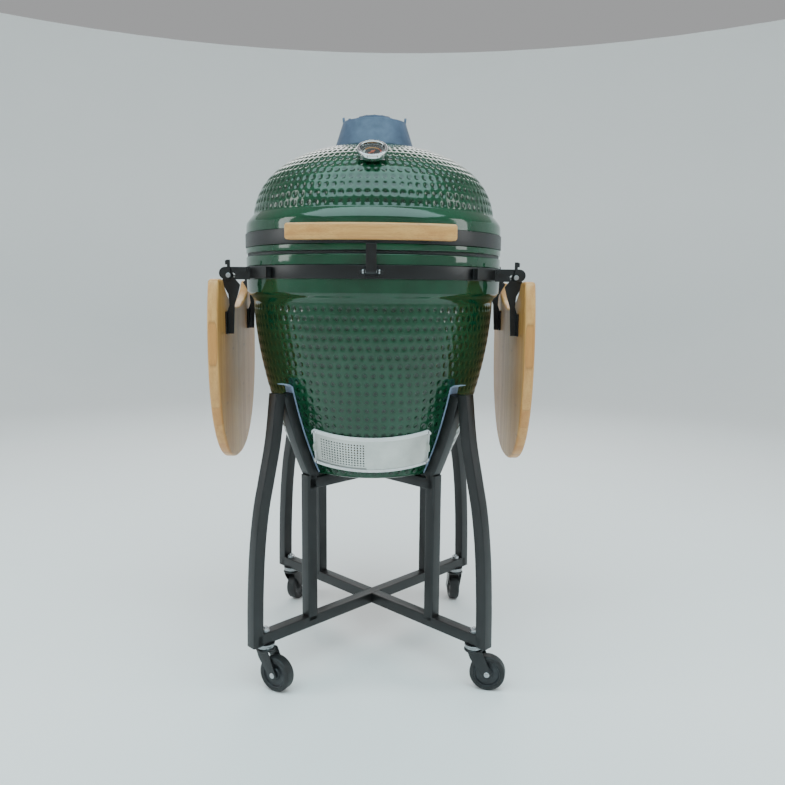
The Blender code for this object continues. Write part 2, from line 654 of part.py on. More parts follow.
def make_thermometer():
    place = thermometer_place()
    cup, seat, floor = THERMO_R - 0.0038, 0.0178, 0.0085
    outline = [(cup - 0.0017, seat + 0.0027), (THERMO_R - 0.001, seat + 0.0027), (THERMO_R, seat + 0.001)]
    outline += [(THERMO_R, 0.012), (THERMO_R - 0.0015, 0.006), (0.012, 0.0036), (PROBE_R, 0.0036)]
    outline += [(PROBE_R, -PROBE_LENGTH), (0.0, -PROBE_LENGTH), (0.0, floor), (cup, floor), (cup, seat)]
    outline += [(cup - 0.0017, seat)]
    turned("thermometer_case", outline, CHROME, 20, place)
    disc = cup - GAP
    turned("thermometer_dial", [(disc, 0.0096), (disc, floor + GAP), (0.0, floor + GAP), (0.0, 0.0096)],
           DIAL_PRINT, 20, place)
    turned("thermometer_glass", [(disc, seat - GAP), (disc, 0.0155), (0.0, 0.0155), (0.0, seat - GAP)],
           LENS, 20, place)
    pointer = [(-0.0012, -0.007), (0.0012, -0.007), (0.0016, -0.0030), *circle(0.0033, (0, 0), 7, -55, 55)]
    pointer += [(0.0012, 0.0035), (0.0003, 0.0200), (-0.0003, 0.0200), (-0.0012, 0.0035)]
    pointer += [*circle(0.0033, (0, 0), 7, 125, 235), (-0.0016, -0.0030)]
    turn = Matrix.Translation((0, 0, 0.0112)) @ Matrix.Rotation(math.radians(NEEDLE_REST), 4, "Z")
    plate("thermometer_needle", [pointer], 0.001, NEEDLE_PAINT, place @ turn)


# ---- Handle, latch and rear hinge ----
def make_handle():
    front = EGG_R + HANDLE_REACH
    half = HANDLE_LENGTH / 2
    bow_r = (half ** 2 + HANDLE_BOW ** 2) / (2 * HANDLE_BOW)
    spread = math.degrees(math.asin(half / bow_r))
    centre = (0.0, -front + bow_r)
    outer = circle(bow_r, centre, 11, -90 - spread, -90 + spread)
    inner = circle(bow_r - HANDLE_T, centre, 11, -90 + spread, -90 - spread)
    lift = Matrix.Translation((0, 0, HANDLE_Z + HANDLE_H / 2))
    plate("lid_handle", [outer + inner], HANDLE_H, BAMBOO, lift, 0.006)
    for side, name in ((-1, "handle_bracket_left"), (1, "handle_bracket_right")):
        make_handle_bracket(name, side, bow_r, centre)


def make_handle_bracket(name, side, bow_r, centre):
    """A plate on the lid band, an arm out to the handle and a tab behind it."""
    x = side * HANDLE_ARM_X
    low, high = HANDLE_Z + 0.002, LID_BAND_Z + LID_BAND_H - 0.004
    angle = -math.degrees(math.acos(x / FOOT_IN))
    back = centre[1] - math.sqrt((bow_r - HANDLE_T) ** 2 - x ** 2)
    band_y = -math.sqrt(FOOT_IN ** 2 - x ** 2)
    made = band_foot(name, angle, 4.0, low, high)
    arm = box("handle_arm", (x - ARM_T / 2, back + 0.006, low),
              (x + ARM_T / 2, band_y - 0.0018, high), POWDER_COAT)
    tangent = math.degrees(math.asin(x / (bow_r - HANDLE_T)))
    turn = Matrix.Translation((x, back, 0)) @ Matrix.Rotation(math.radians(tangent), 4, "Z")
    tab = box("handle_tab", (-0.012, 0.0012, low), (0.012, 0.0092, high), POWDER_COAT, turn)
    join(made, arm, tab)


def make_latch():
    plate_half = math.degrees(LATCH_PLATE_W / 2 / FOOT_IN)
    low, high = BASE_BAND_Z + 0.001, BASE_BAND_Z + BASE_BAND_H - 0.001
    pin_y, pin_z = -latch_pin_reach(), (low + high) / 2
    bracket = band_foot("latch_bracket", FRONT, plate_half, low, high)
    ear_in, ear_out = LATCH_W / 2 + 0.0008, LATCH_W / 2 + 0.0038
    for side in (-1, 1):
        ear = [(-FOOT_IN - 0.0015, low + 0.002), *reversed(circle(0.006, (pin_y, pin_z), 9, 90, 270)),
               (-FOOT_IN - 0.0015, high - 0.002)]
        x = side * (ear_in + ear_out) / 2
        join(bracket, plate("latch_ear", [ear], ear_out - ear_in, POWDER_COAT, side_plane(x)))
    hole = rod("latch_pin_hole", (-0.03, pin_y, pin_z), (0.03, pin_y, pin_z), LATCH_PIN_R + 0.0004, None,
               collection=CUTTERS)
    cut(bracket, hole)
    arm_top = HANDLE_Z - 0.003
    loop = [*circle(0.0055, (pin_y, pin_z), 9, 180, 360), (pin_y + 0.0035, pin_z + 0.012),
            (pin_y + 0.0035, arm_top), (pin_y - 0.0035, arm_top), (pin_y - 0.0055, pin_z + 0.010)]
    arm = plate("latch_arm", [loop], LATCH_W, POWDER_COAT, side_plane(0.0))
    cut(arm, rod("latch_arm_hole", (-0.03, pin_y, pin_z), (0.03, pin_y, pin_z), LATCH_PIN_R + 0.0004, None,
                 collection=CUTTERS))
    headed_pin("latch_pin", (0, pin_y, pin_z), (1, 0, 0), ear_out + GAP, LATCH_PIN_R, 0.0045, 0.003, CHROME)


def latch_pin_reach():
    return FOOT_IN + 0.003 + 0.0065


def side_plane(x):
    """A plane square to X: its own X is the world's Y and its own Y is the world's Z."""
    columns = Matrix(((0, 0, 1, x), (1, 0, 0, 0), (0, 1, 0, 0), (0, 0, 0, 1)))
    return columns


def front_plane(y):
    """A plane square to Y: its own X is the world's X and its own Y is the world's Z."""
    return Matrix(((1, 0, 0, 0), (0, 0, -1, y), (0, 1, 0, 0), (0, 0, 0, 1)))


def make_rear_hinge():
    foot_half = math.degrees(HINGE_HALF / FOOT_IN) + 1.0
    pivot = (HINGE_Y, RIM_PLANE)
    base = band_foot("base_hinge_bracket", 90, foot_half, BASE_BAND_Z + 0.001,
                     BASE_BAND_Z + BASE_BAND_H - 0.001)
    foot_y = FOOT_IN * math.cos(math.asin(HINGE_HALF / FOOT_IN)) + 0.0012
    for side in (-1, 1):
        ear = [(foot_y, BASE_BAND_Z + 0.002), (foot_y + 0.020, BASE_BAND_Z + 0.002),
               *circle(HINGE_EAR_R, pivot, 9, -30, 150), (foot_y, BASE_BAND_Z + BASE_BAND_H - 0.003)]
        x = side * (HINGE_HALF - HINGE_PLATE / 2)
        join(base, plate("base_ear", [ear], HINGE_PLATE, POWDER_COAT, side_plane(x)))
    lid = band_foot("lid_hinge_bracket", 90, foot_half, LID_BAND_Z + 0.002, LID_BAND_Z + LID_BAND_H - 0.002)
    lid_x = HINGE_HALF - HINGE_PLATE * 1.5 - 0.0006
    for side in (-1, 1):
        arm = [(foot_y, LID_BAND_Z + 0.003), *circle(0.013, pivot, 9, 190, 390),
               (foot_y + 0.012, LID_BAND_Z + LID_BAND_H - 0.003), (foot_y, LID_BAND_Z + LID_BAND_H - 0.003)]
        join(lid, plate("lid_ear", [arm], HINGE_PLATE, POWDER_COAT, side_plane(side * lid_x)))
    for made in (base, lid):
        cut(made, rod("pin_hole", (-0.1, *pivot), (0.1, *pivot), HINGE_PIN_R + 0.0006, None, 12, CUTTERS))
    headed_pin("hinge_pin", (0, *pivot), (1, 0, 0), HINGE_HALF + GAP, HINGE_PIN_R, 0.008, 0.004, CHROME)
    coil_out = lid_x - HINGE_PLATE / 2 - 0.001
    for side, name in ((-1, "hinge_spring_left"), (1, "hinge_spring_right")):
        along = Matrix.Translation((side * 0.001 + (0 if side > 0 else -coil_out + 0.001), *pivot))
        turn = Matrix.Rotation(math.radians(90), 4, "Y")
        ring(name, SPRING_R - 0.0045, SPRING_R, 0.0, coil_out - 0.001, POWDER_COAT, 16, along @ turn)


# ---- Side shelves ----
def shelf_outline():
    """The board seen square on, from notch to horn and round the long convex edge."""
    corner = 0.014
    sagitta = NOTCH_DEPTH - 0.010
    notch_r = (NOTCH_HALF ** 2 + sagitta ** 2) / (2 * sagitta)
    notch_mid = (0.0, SHELF_TOP - NOTCH_DEPTH + notch_r)
    spread = math.degrees(math.asin(NOTCH_HALF / notch_r))
    notch = circle(notch_r, notch_mid, 11, -90 - spread, -90 + spread)
    low = SHELF_CENTRE_Z - SHELF_DROP
    top_of_side = SHELF_TOP - corner
    heights = [SHELF_CENTRE_Z + (top_of_side - SHELF_CENTRE_Z) * (1 - i / 3) for i in range(4)]
    turns = [90 * i / 12 for i in range(1, 13)]
    side = [(shelf_half_width(z), z) for z in heights]
    power = 2 / SHELF_POWER
    side += [(SHELF_HALF * max(math.cos(math.radians(t)), 0.0) ** power,
              SHELF_CENTRE_Z - SHELF_DROP * math.sin(math.radians(t)) ** power) for t in turns[:-1]]
    horn_y = shelf_half_width(top_of_side) - corner
    horn = [(NOTCH_HALF + 0.006, SHELF_TOP - 0.002), (NOTCH_HALF + 0.014, SHELF_TOP)]
    horn += [(horn_y, SHELF_TOP), (horn_y + corner * 0.7, SHELF_TOP - corner * 0.3)]
    right = horn + side
    left = [(-y, z) for y, z in reversed(right)]
    return notch + right + [(0.0, low)] + left


def shelf_half_width(z):
    share = abs(z - SHELF_CENTRE_Z) / SHELF_DROP
    return SHELF_HALF * (1 - share ** SHELF_POWER) ** (1 / SHELF_POWER)


def make_shelf(side, label):
    inner = EGG_R + SHELF_X
    middle = side * (inner + SHELF_T / 2)
    plate(f"shelf_{label}", [shelf_outline()], SHELF_T, BAMBOO, side_plane(middle), 0.006)
    pivot_x = side * (EGG_R + PIVOT_X)
    end = BAR_Y + BAR_T / 2 + GAP * 2 + 0.004 + GAP
    headed_pin(f"shelf_rod_{label}", (pivot_x, 0, PIVOT_Z), (0, 1, 0), end, ROD_R, 0.0052, 0.004, CHROME)
    for way, place in ((-1, "front"), (1, "rear")):
        make_shelf_arm(side, way, f"shelf_arm_{label}_{place}")
        make_shelf_bracket(side, way, f"shelf_bracket_{label}_{place}")


def make_shelf_arm(side, way, name):
    """A tapered gusset behind the bar, a sleeve through its slot and a hooked tail in front."""
    pivot_x = EGG_R + PIVOT_X
    face = EGG_R + SHELF_X - GAP
    gusset_y = way * (BAR_Y - BAR_T / 2 - GAP - GUSSET_T / 2)
    tail_y = way * (BAR_Y + BAR_T / 2 + GAP + 0.002)
    boss = circle(0.0085, (pivot_x, PIVOT_Z), 11, -20, 200)
    throat = PAD_TOP + 0.014
    gusset = [*boss, (pivot_x - 0.022, SHELF_TOP - 0.011), (pivot_x - 0.017, throat + 0.022),
              (pivot_x - 0.010, throat), (face - 0.016, PAD_TOP), (face - 0.014, PAD_TOP - PAD_H),
              (face - 0.001, PAD_TOP - PAD_H), (face - 0.001, PAD_TOP - 0.001), (pivot_x + 0.001, throat),
              (pivot_x + 0.003, throat + 0.022), (pivot_x + 0.014, SHELF_TOP - 0.011),
              (pivot_x + 0.019, SHELF_TOP - 0.004)]
    outward = [(side * x, z) for x, z in gusset]
    made = plate(name, [outward], GUSSET_T, POWDER_COAT, front_plane(gusset_y))
    pad_low = (side * (face - 0.003), gusset_y - PAD_W / 2, PAD_TOP - PAD_H)
    pad_high = (side * face, gusset_y + PAD_W / 2, PAD_TOP)
    low = [min(a, b) for a, b in zip(pad_low, pad_high)]
    high = [max(a, b) for a, b in zip(pad_low, pad_high)]
    tail_low, tail_top = PIVOT_Z - TAIL_W / 2, PIVOT_Z + TAIL_LENGTH
    tail = [*circle(SLEEVE_R + 0.0012, (pivot_x, PIVOT_Z), 9, 180 - 50, 360 + 50),
            (pivot_x + TAIL_W / 2, tail_low + 0.012), (pivot_x + TAIL_W / 2, tail_top - 0.010),
            (pivot_x + TAIL_W / 2 + 0.004, tail_top - 0.010),
            (pivot_x + TAIL_W / 2 + 0.004, tail_top - 0.002),
            (pivot_x + TAIL_W / 2, tail_top), (pivot_x - TAIL_W / 2, tail_top),
            (pivot_x - TAIL_W / 2, tail_low + 0.012)]
    hook = plate("arm_tail", [[(side * x, z) for x, z in tail]], 0.004, POWDER_COAT, front_plane(tail_y))
    sleeve = rod("arm_sleeve", (side * pivot_x, gusset_y, PIVOT_Z), (side * pivot_x, tail_y, PIVOT_Z),
                 SLEEVE_R, POWDER_COAT)
    bore = rod("arm_bore", (side * pivot_x, way * 0.10, PIVOT_Z), (side * pivot_x, way * 0.16, PIVOT_Z),
               ROD_R + 0.0004, None, collection=CUTTERS)
    join(made, box("arm_pad", low, high, POWDER_COAT), sleeve, hook)
    cut(made, bore)


def mirrored_angle(angle, side, way):
    """An angle of the right rear quarter, moved to the quarter on the given side and way."""
    turn = math.radians(angle)
    return math.degrees(math.atan2(way * math.sin(turn), side * math.cos(turn)))


def make_shelf_bracket(side, way, name):
    """A slotted bar that stands off the base band, on a foot that hugs the band."""
    low, high = BASE_BAND_Z - 0.002, BASE_BAND_Z + BASE_BAND_H - 0.002
    end_r = (high - low) / 2
    mid_z = (high + low) / 2
    outer = EGG_R + BAR_REACH - end_r
    band_x = math.sqrt((FOOT_IN + 0.0012) ** 2 - (BAR_Y - BAR_T / 2) ** 2)
    bar = [(band_x, low), *circle(end_r, (outer, mid_z), 11, -90, 90), (band_x, high)]
    pivot_x = EGG_R + PIVOT_X
    slot_r = SLEEVE_R + 0.0004
    slot = [*circle(slot_r, (pivot_x, PIVOT_Z), 9, -90, 90),
            *circle(slot_r, (pivot_x - ROD_TRAVEL, PIVOT_Z), 9, 90, 270)]
    loops = [[(side * x, z) for x, z in loop] for loop in (bar, slot)]
    made = plate(name, loops, BAR_T, POWDER_COAT, front_plane(way * BAR_Y))
    near = math.degrees(math.asin(BAR_Y / FOOT_IN)) - 0.4
    far = near + 19.0
    start, end = sorted((mirrored_angle(near, side, way), mirrored_angle(far, side, way)))
    foot_low, foot_high = BASE_BAND_Z + 0.001, BASE_BAND_Z + BASE_BAND_H - 0.003
    foot_out = FOOT_IN + 0.003
    outline = [(FOOT_IN, foot_low), (foot_out, foot_low), (foot_out, foot_high), (FOOT_IN, foot_high)]
    foot = arc(name + "_foot", outline, start, end, POWDER_COAT)
    lip_angle = mirrored_angle(far - 0.6, side, way)
    lip = box(name + "_lip", (FOOT_IN + 0.001, -0.0015, foot_low), (FOOT_IN + 0.013, 0.0015, foot_high),
              POWDER_COAT, Matrix.Rotation(math.radians(lip_angle), 4, "Z"))
    stop_x, stop_z = side * (pivot_x - STOP_X), PIVOT_Z + STOP_RISE
    inner_y, outer_y = way * (BAR_Y - BAR_T / 2 + 0.001), way * (BAR_Y + BAR_T / 2 + 0.005)
    stop = rod(name + "_stop", (stop_x, inner_y, stop_z), (stop_x, outer_y, stop_z), STOP_R, POWDER_COAT)
    join(made, foot, lip, stop)


# ---- Stand ----
def leg_outer_points():
    """The outer leg's outer face along the diagonal: near upright at the foot, leaning in above."""
    shares = ((0.0, 0.153), (-0.002, 0.31), (-0.008, 0.467), (-0.019, 0.60), (-0.034, 0.704), (-0.052, 0.830),
              (-0.064, 0.975))
    reach = EGG_R + FOOT_REACH
    points = [(reach + lean, share * APEX_Z) for lean, share in shares]
    points[0] = (reach, BOTTOM_TUBE_Z)
    return smooth(points, 3)


def offset_inwards(points, distance):
    """The same curve moved towards the egg's axis, square to itself."""
    moved = []
    for i, (l, z) in enumerate(points):
        before, after = points[max(i - 1, 0)], points[min(i + 1, len(points) - 1)]
        run = Vector((after[0] - before[0], after[1] - before[1])).normalized()
        moved.append((l - run.y * distance, z + run.x * distance))
    return moved


def across(points, z):
    """Where a rising curve of (length, z) points crosses a level."""
    for (l0, z0), (l1, z1) in zip(points, points[1:]):
        if min(z0, z1) <= z <= max(z0, z1):
            return l0 + (l1 - l0) * (z - z0) / (z1 - z0)
    return points[-1][0]


def leg_loops(inner_end):
    """The welded frame in its own plane: outer outline and the window behind the leg."""
    outer = leg_outer_points()
    levels = steps_between(APEX_Z - 0.005, EGG_BOTTOM + 0.012, 10)
    cradle_in = [body_offset(z, FELT) for z in levels]
    cradle_out = [body_offset(z, FELT + TUBE) for z in levels]
    post_in, post_out = POST_L - TUBE / 2, POST_L + TUBE / 2
    bottom_top, cross_top = BOTTOM_TUBE_Z + TUBE, CROSS_Z + TUBE
    heel = cradle_in[-1][0]
    outline = [(inner_end, BOTTOM_TUBE_Z), *outer, (outer[-1][0] - 0.006, APEX_Z - 0.004),
               (outer[-1][0] - 0.017, APEX_Z), (cradle_in[0][0] + 0.003, APEX_Z), *cradle_in,
               (heel, cross_top), (inner_end, cross_top), (inner_end, CROSS_Z), (post_in, CROSS_Z),
               (post_in, bottom_top), (inner_end, bottom_top)]
    inner_curve = offset_inwards(outer, TUBE)
    rising = list(reversed(cradle_out))
    top = bottom_top
    while across(inner_curve, top) - max(across(rising, top), post_out) > 0.004:
        top += 0.002
    window = [(across(inner_curve, bottom_top), bottom_top)]
    window += [p for p in inner_curve if bottom_top + 0.004 < p[1] < top - 0.004]
    window += [(across(inner_curve, top), top), (across(rising, top), top)]
    window += [p for p in cradle_out if p[1] < top - 0.004 and p[0] > post_out + 0.002]
    post_top = min(p[1] for p in cradle_out if p[0] > post_out + 0.002) - 0.004
    window += [(post_out, post_top), (post_out, bottom_top)]
    return [outline, window]


def make_stand():
    for label, (side_x, side_y, trail_angle) in CORNERS.items():
        angle = math.degrees(math.atan2(side_y, side_x))
        through = label in ("front_left", "rear_right")
        inner_end = GAP / 2 if through else TUBE / 2 + GAP
        frame = plate(f"leg_frame_{label}", leg_loops(inner_end), TUBE, POWDER_COAT, upright(angle))
        turn = math.radians(angle)
        stem = (CASTER_L * math.cos(turn), CASTER_L * math.sin(turn))
        bore = rod("stem_bore", (*stem, BOTTOM_TUBE_Z - 0.01), (*stem, BOTTOM_TUBE_Z + TUBE + 0.01), 0.0054,
                   None, collection=CUTTERS)
        cut(frame, bore)
        make_caster(label, stem, trail_angle)


def make_caster(label, stem, trail_angle):
    """Threaded stem with its race, swivelling fork with the axle, and wheel."""
    place = Matrix.Translation((*stem, 0)) @ Matrix.Rotation(math.radians(trail_angle), 4, "Z")
    top, race = BOTTOM_TUBE_Z + TUBE, BOTTOM_TUBE_Z - GAP
    race_low, crown_low = race - 0.009, race - 0.0135
    outline = [(0.005, top + 0.010), (0.005, race), (RACE_R, race), (RACE_R - 0.002, race_low)]
    outline += [(KINGPIN_R, race_low), (KINGPIN_R, crown_low - GAP), (0.007, crown_low - GAP)]
    outline += [(0.007, crown_low - 0.003), (0.0, crown_low - 0.003), (0.0, top + 0.010)]
    made = turned(f"caster_stem_{label}", outline, CHROME, 12, place)
    nut = bmesh.new()
    nut_place = Matrix.Translation((0, 0, top + GAP + 0.0035))
    bmesh.ops.create_cone(nut, cap_ends=True, segments=6, radius1=0.0095, radius2=0.0095,
                          depth=0.007, matrix=nut_place)
    join(made, finish_bmesh("stem_nut", nut, CHROME, place))
    make_fork(label, place, race_low - GAP, crown_low)
    make_wheel(label, place)


def make_fork(label, place, crown_top, crown_low):
    outline = [(RACE_R - 0.001, crown_top), (RACE_R + 0.001, crown_low), (KINGPIN_R + 0.0004, crown_low),
               (KINGPIN_R + 0.0004, crown_top)]
    made = turned(f"caster_fork_{label}", outline, POWDER_COAT, 16, place)
    plate_in = WHEEL_WIDTH / 2 + 0.0020
    leg = [(-0.011, crown_top - 0.001), (-0.006, crown_low - 0.012),
           *circle(0.010, (TRAIL, WHEEL_RADIUS), 7, 190, 390), (0.015, crown_top - 0.001)]
    for side in (-1, 1):
        y = side * (plate_in + FORK_PLATE / 2)
        join(made, plate("fork_leg", [leg], FORK_PLATE, POWDER_COAT, place @ front_plane(y)))
    reach = plate_in + FORK_PLATE + 0.002
    axle = rod("fork_axle", (TRAIL, -reach, WHEEL_RADIUS), (TRAIL, reach, WHEEL_RADIUS), AXLE_R, CHROME)
    axle.matrix_world = place
    join(made, axle)


def make_wheel(label, place):
    half, tread = WHEEL_WIDTH / 2, WHEEL_RADIUS
    outline = [(tread - 0.004, half), (tread, half - 0.004), (tread, -half + 0.004), (tread - 0.004, -half)]
    outline += [(tread - 0.012, -half), (tread - 0.013, -half + 0.003), (AXLE_R + 0.0005, -half + 0.003)]
    outline += [(AXLE_R + 0.0005, half - 0.003), (tread - 0.013, half - 0.003), (tread - 0.012, half)]
    lay = Matrix.Rotation(math.radians(90), 4, "X")
    hub = place @ Matrix.Translation((TRAIL, 0, WHEEL_RADIUS)) @ lay
    turned(f"caster_wheel_{label}", outline, RUBBER, 20, hub)


make_base_shell()
make_lid_shell()
make_gaskets_and_bands()
make_fire_parts()
make_draft_vent()
make_top_vent()
make_thermometer()
make_handle()
make_latch()
make_rear_hinge()
make_shelf(-1, "left")
make_shelf(1, "right")
make_stand()
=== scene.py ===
import json
import math

import bmesh
import bpy
import numpy as np
from mathutils import Matrix, Vector


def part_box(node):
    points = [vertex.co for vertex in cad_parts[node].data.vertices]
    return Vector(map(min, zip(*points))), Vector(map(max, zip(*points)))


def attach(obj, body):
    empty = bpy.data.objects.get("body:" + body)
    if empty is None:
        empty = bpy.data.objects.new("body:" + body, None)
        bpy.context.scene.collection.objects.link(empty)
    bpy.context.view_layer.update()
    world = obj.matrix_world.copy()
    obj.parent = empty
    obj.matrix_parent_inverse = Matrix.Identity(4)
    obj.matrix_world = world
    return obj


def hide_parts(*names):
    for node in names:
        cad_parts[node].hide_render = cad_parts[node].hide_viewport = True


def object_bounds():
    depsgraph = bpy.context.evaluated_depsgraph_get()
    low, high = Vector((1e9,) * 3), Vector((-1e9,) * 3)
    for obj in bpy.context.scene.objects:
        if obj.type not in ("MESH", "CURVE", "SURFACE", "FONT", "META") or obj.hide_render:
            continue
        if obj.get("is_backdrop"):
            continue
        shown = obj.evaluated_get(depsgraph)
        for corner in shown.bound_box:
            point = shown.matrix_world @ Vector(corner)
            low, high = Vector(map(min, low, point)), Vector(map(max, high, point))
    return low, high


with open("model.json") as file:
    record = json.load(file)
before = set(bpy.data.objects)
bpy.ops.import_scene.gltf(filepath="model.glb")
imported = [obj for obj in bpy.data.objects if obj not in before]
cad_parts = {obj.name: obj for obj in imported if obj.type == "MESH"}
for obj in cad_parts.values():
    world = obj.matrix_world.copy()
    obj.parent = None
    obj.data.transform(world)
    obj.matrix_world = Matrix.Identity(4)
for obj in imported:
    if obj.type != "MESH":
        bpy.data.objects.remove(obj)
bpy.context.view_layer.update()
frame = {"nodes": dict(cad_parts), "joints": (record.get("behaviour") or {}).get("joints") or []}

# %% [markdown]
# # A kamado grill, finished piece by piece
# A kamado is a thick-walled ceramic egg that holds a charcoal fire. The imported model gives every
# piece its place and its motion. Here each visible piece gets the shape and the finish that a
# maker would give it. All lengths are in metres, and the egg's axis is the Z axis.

# %% [markdown]
# ## The egg's main sizes
# Lengths that the frame knows are read from it. The rest are the shape values of the ceramic: a
# superellipse for the bowl and another for the dome, joined to a thick plain rim.

# %% Sizes of the egg
RIM_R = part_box("base_shell")[1].x
EGG_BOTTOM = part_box("base_shell")[0].z
RIM_Z = next(j["pos_m"][2] for j in frame["joints"] if j["name"] == "lid_hinge")
WALL = 0.021
BODY_TOP = RIM_Z - 0.0975
BODY_R = RIM_R - 0.0155
BODY_FOOT_R = 0.170
FOOT_ROUND = 0.006
BODY_POWER = 1.65
BODY_DEPTH = (BODY_TOP - EGG_BOTTOM - FOOT_ROUND) / (
    1 - (BODY_FOOT_R / BODY_R) ** BODY_POWER) ** (1 / BODY_POWER)
DOME_R = RIM_R - 0.0165
DOME_CENTRE = RIM_Z + 0.0655
DOME_FOOT = RIM_Z + 0.087
DOME_RISE = 0.175
DOME_POWER = 2.3
CHIMNEY_R = 0.052
print("rim radius", round(RIM_R * 1000), "mm, rim height", round(RIM_Z * 1000), "mm")


# %% The two curves of the ceramic
def body_radius(z):
    return BODY_R * (1 - ((BODY_TOP - z) / BODY_DEPTH) ** BODY_POWER) ** (1 / BODY_POWER)


def body_offset(z, distance):
    """The point that lies a distance outside the bowl's surface."""
    slope = (body_radius(z + 0.0005) - body_radius(z - 0.0005)) / 0.001
    length = math.hypot(1.0, slope)
    return body_radius(z) + distance / length, z - distance * slope / length


def dome_point(angle, inset=0.0):
    """0 degrees is the dome's foot and 90 degrees its top."""
    turn = math.radians(angle)
    power = 2 / DOME_POWER
    return ((DOME_R - inset) * math.cos(turn) ** power,
            DOME_CENTRE + (DOME_RISE - inset) * math.sin(turn) ** power)


def dome_angle(radius, inset=0.0):
    return math.degrees(math.acos((radius / (DOME_R - inset)) ** (DOME_POWER / 2)))


def dome_height(radius):
    return DOME_CENTRE + DOME_RISE * (1 - (radius / DOME_R) ** DOME_POWER) ** (1 / DOME_POWER)


# %% [markdown]
# ## A small kit for materials
# Colours are picked as sRGB hex values, because that is how a maker reads a swatch. Blender's
# shaders want linear light, so one function turns one into the other. One more function adds a
# node with its settings and its links, and a pattern's scale is worked out from a size in mm.

# %% Colour and node helpers
def linear(hex_colour):
    """An sRGB hex colour as linear RGBA."""
    parts = [int(hex_colour[i:i + 2], 16) / 255 for i in (1, 3, 5)]
    return (*[p / 12.92 if p <= 0.04045 else ((p + 0.055) / 1.055) ** 2.4 for p in parts], 1.0)


def add_node(material, kind, inputs=None, **settings):
    """Adds a node. Each input is a value, or a socket to link from."""
    made = material.node_tree.nodes.new(kind)
    for key, value in settings.items():
        setattr(made, key, value)
    for socket, value in (inputs or {}).items():
        if isinstance(value, bpy.types.NodeSocket):
            material.node_tree.links.new(value, made.inputs[socket])
        else:
            made.inputs[socket].default_value = value
    return made


def per_metre(size_mm):
    """The texture scale that gives features of a size in mm."""
    return 1000.0 / size_mm


def new_material(name, colour, roughness, metallic=0.0, **sockets):
    """A Principled material; other constants go straight onto its own sockets."""
    made = bpy.data.materials.new(name)
    made.use_nodes = True
    shader = made.node_tree.nodes["Principled BSDF"]
    shader.inputs["Base Color"].default_value = linear(colour)
    shader.inputs["Roughness"].default_value = roughness
    shader.inputs["Metallic"].default_value = metallic
    for socket, value in sockets.items():
        shader.inputs[socket.replace("_", " ")].default_value = value
    made.diffuse_color = linear(colour)
    return made


def join_to(material, socket, output):
    material.node_tree.links.new(output, material.node_tree.nodes["Principled BSDF"].inputs[socket])


# %% Texture helpers
def place_of(material, stretch=(1.0, 1.0, 1.0)):
    """The piece's own coordinates in metres, scaled by axis."""
    where = add_node(material, "ShaderNodeTexCoord")
    return add_node(material, "ShaderNodeMapping",
                    {"Vector": where.outputs["Object"], "Scale": stretch}).outputs["Vector"]


def noise(material, size_mm, where, detail=3.0, rough=0.55):
    return add_node(material, "ShaderNodeTexNoise", {
        "Vector": where, "Scale": per_metre(size_mm), "Detail": detail, "Roughness": rough}).outputs["Fac"]


def spread(material, value, low, high, out_low, out_high):
    """Maps a range of one texture to another range."""
    return add_node(material, "ShaderNodeMapRange", {
        "Value": value, "From Min": low, "From Max": high,
        "To Min": out_low, "To Max": out_high}).outputs["Result"]


def mixed(material, factor, first, second):
    """A mix of two colours, each an sRGB hex value or a socket."""
    made = add_node(material, "ShaderNodeMix", {0: factor}, data_type="RGBA")
    for index, colour in ((6, first), (7, second)):
        if isinstance(colour, str):
            made.inputs[index].default_value = linear(colour)
        else:
            material.node_tree.links.new(colour, made.inputs[index])
    return made.outputs[2]


def bumped(material, height, depth_mm, strength=1.0):
    made = add_node(material, "ShaderNodeBump", {
        "Strength": strength, "Distance": depth_mm / 1000, "Height": height})
    join_to(material, "Normal", made.outputs["Normal"])


# %% [markdown]
# ## Glazed stoneware
# The egg is cast in cordierite ceramic and fired with a glossy green glaze. The glaze is a layer
# of glass, so it has an IOR near 1.5 and very low roughness, and it gives mirror-sharp highlights.
# Each shell stores how deep each point lies, and the glaze colour is painted darker there:
# this is painted shade in the pits.

# %% Green glaze
RIPPLE_MM = 14
GLAZE = new_material("glazed_stoneware", "#1B5230", 0.07, IOR=1.52, Specular_IOR_Level=0.5)
glaze_place = place_of(GLAZE)
glaze_cloud = noise(GLAZE, 90, glaze_place, 3.0)
glaze_tone = mixed(GLAZE, spread(GLAZE, glaze_cloud, 0.35, 0.65, 0, 1), "#0C3822", "#12442C")
# painted shade: the colour darkens towards #041A0F with the depth of each pit
glaze_pit_shade = add_node(GLAZE, "ShaderNodeAttribute", attribute_name="pit_shade").outputs["Fac"]
pit_shade_share = spread(GLAZE, glaze_pit_shade, 0.0, 1.0, 0.0, 0.75)
glaze_with_pit_shade = mixed(GLAZE, pit_shade_share, glaze_tone, "#041A0F")
speck = noise(GLAZE, 2.2, glaze_place, 1.0)
glaze_speck = spread(GLAZE, speck, 0.70, 0.78, 0.0, 0.35)
join_to(GLAZE, "Base Color", mixed(GLAZE, glaze_speck, glaze_with_pit_shade, "#2F6A4A"))
join_to(GLAZE, "Roughness", spread(GLAZE, glaze_cloud, 0.3, 0.7, 0.055, 0.11))
# fired glaze is never quite flat: a slow ripple bends the reflections
bumped(GLAZE, noise(GLAZE, RIPPLE_MM, glaze_place, 2.0), 0.35, 0.5)
print("glaze nodes:", len(GLAZE.node_tree.nodes))

# %% [markdown]
# ## Powder-coated steel
# The bands, brackets and stand are mild steel with a baked black powder coat. The powder melts
# into a skin with a fine orange-peel texture of about half a millimetre, which softens the
# highlights. Handling rubs faint lighter patches into it.

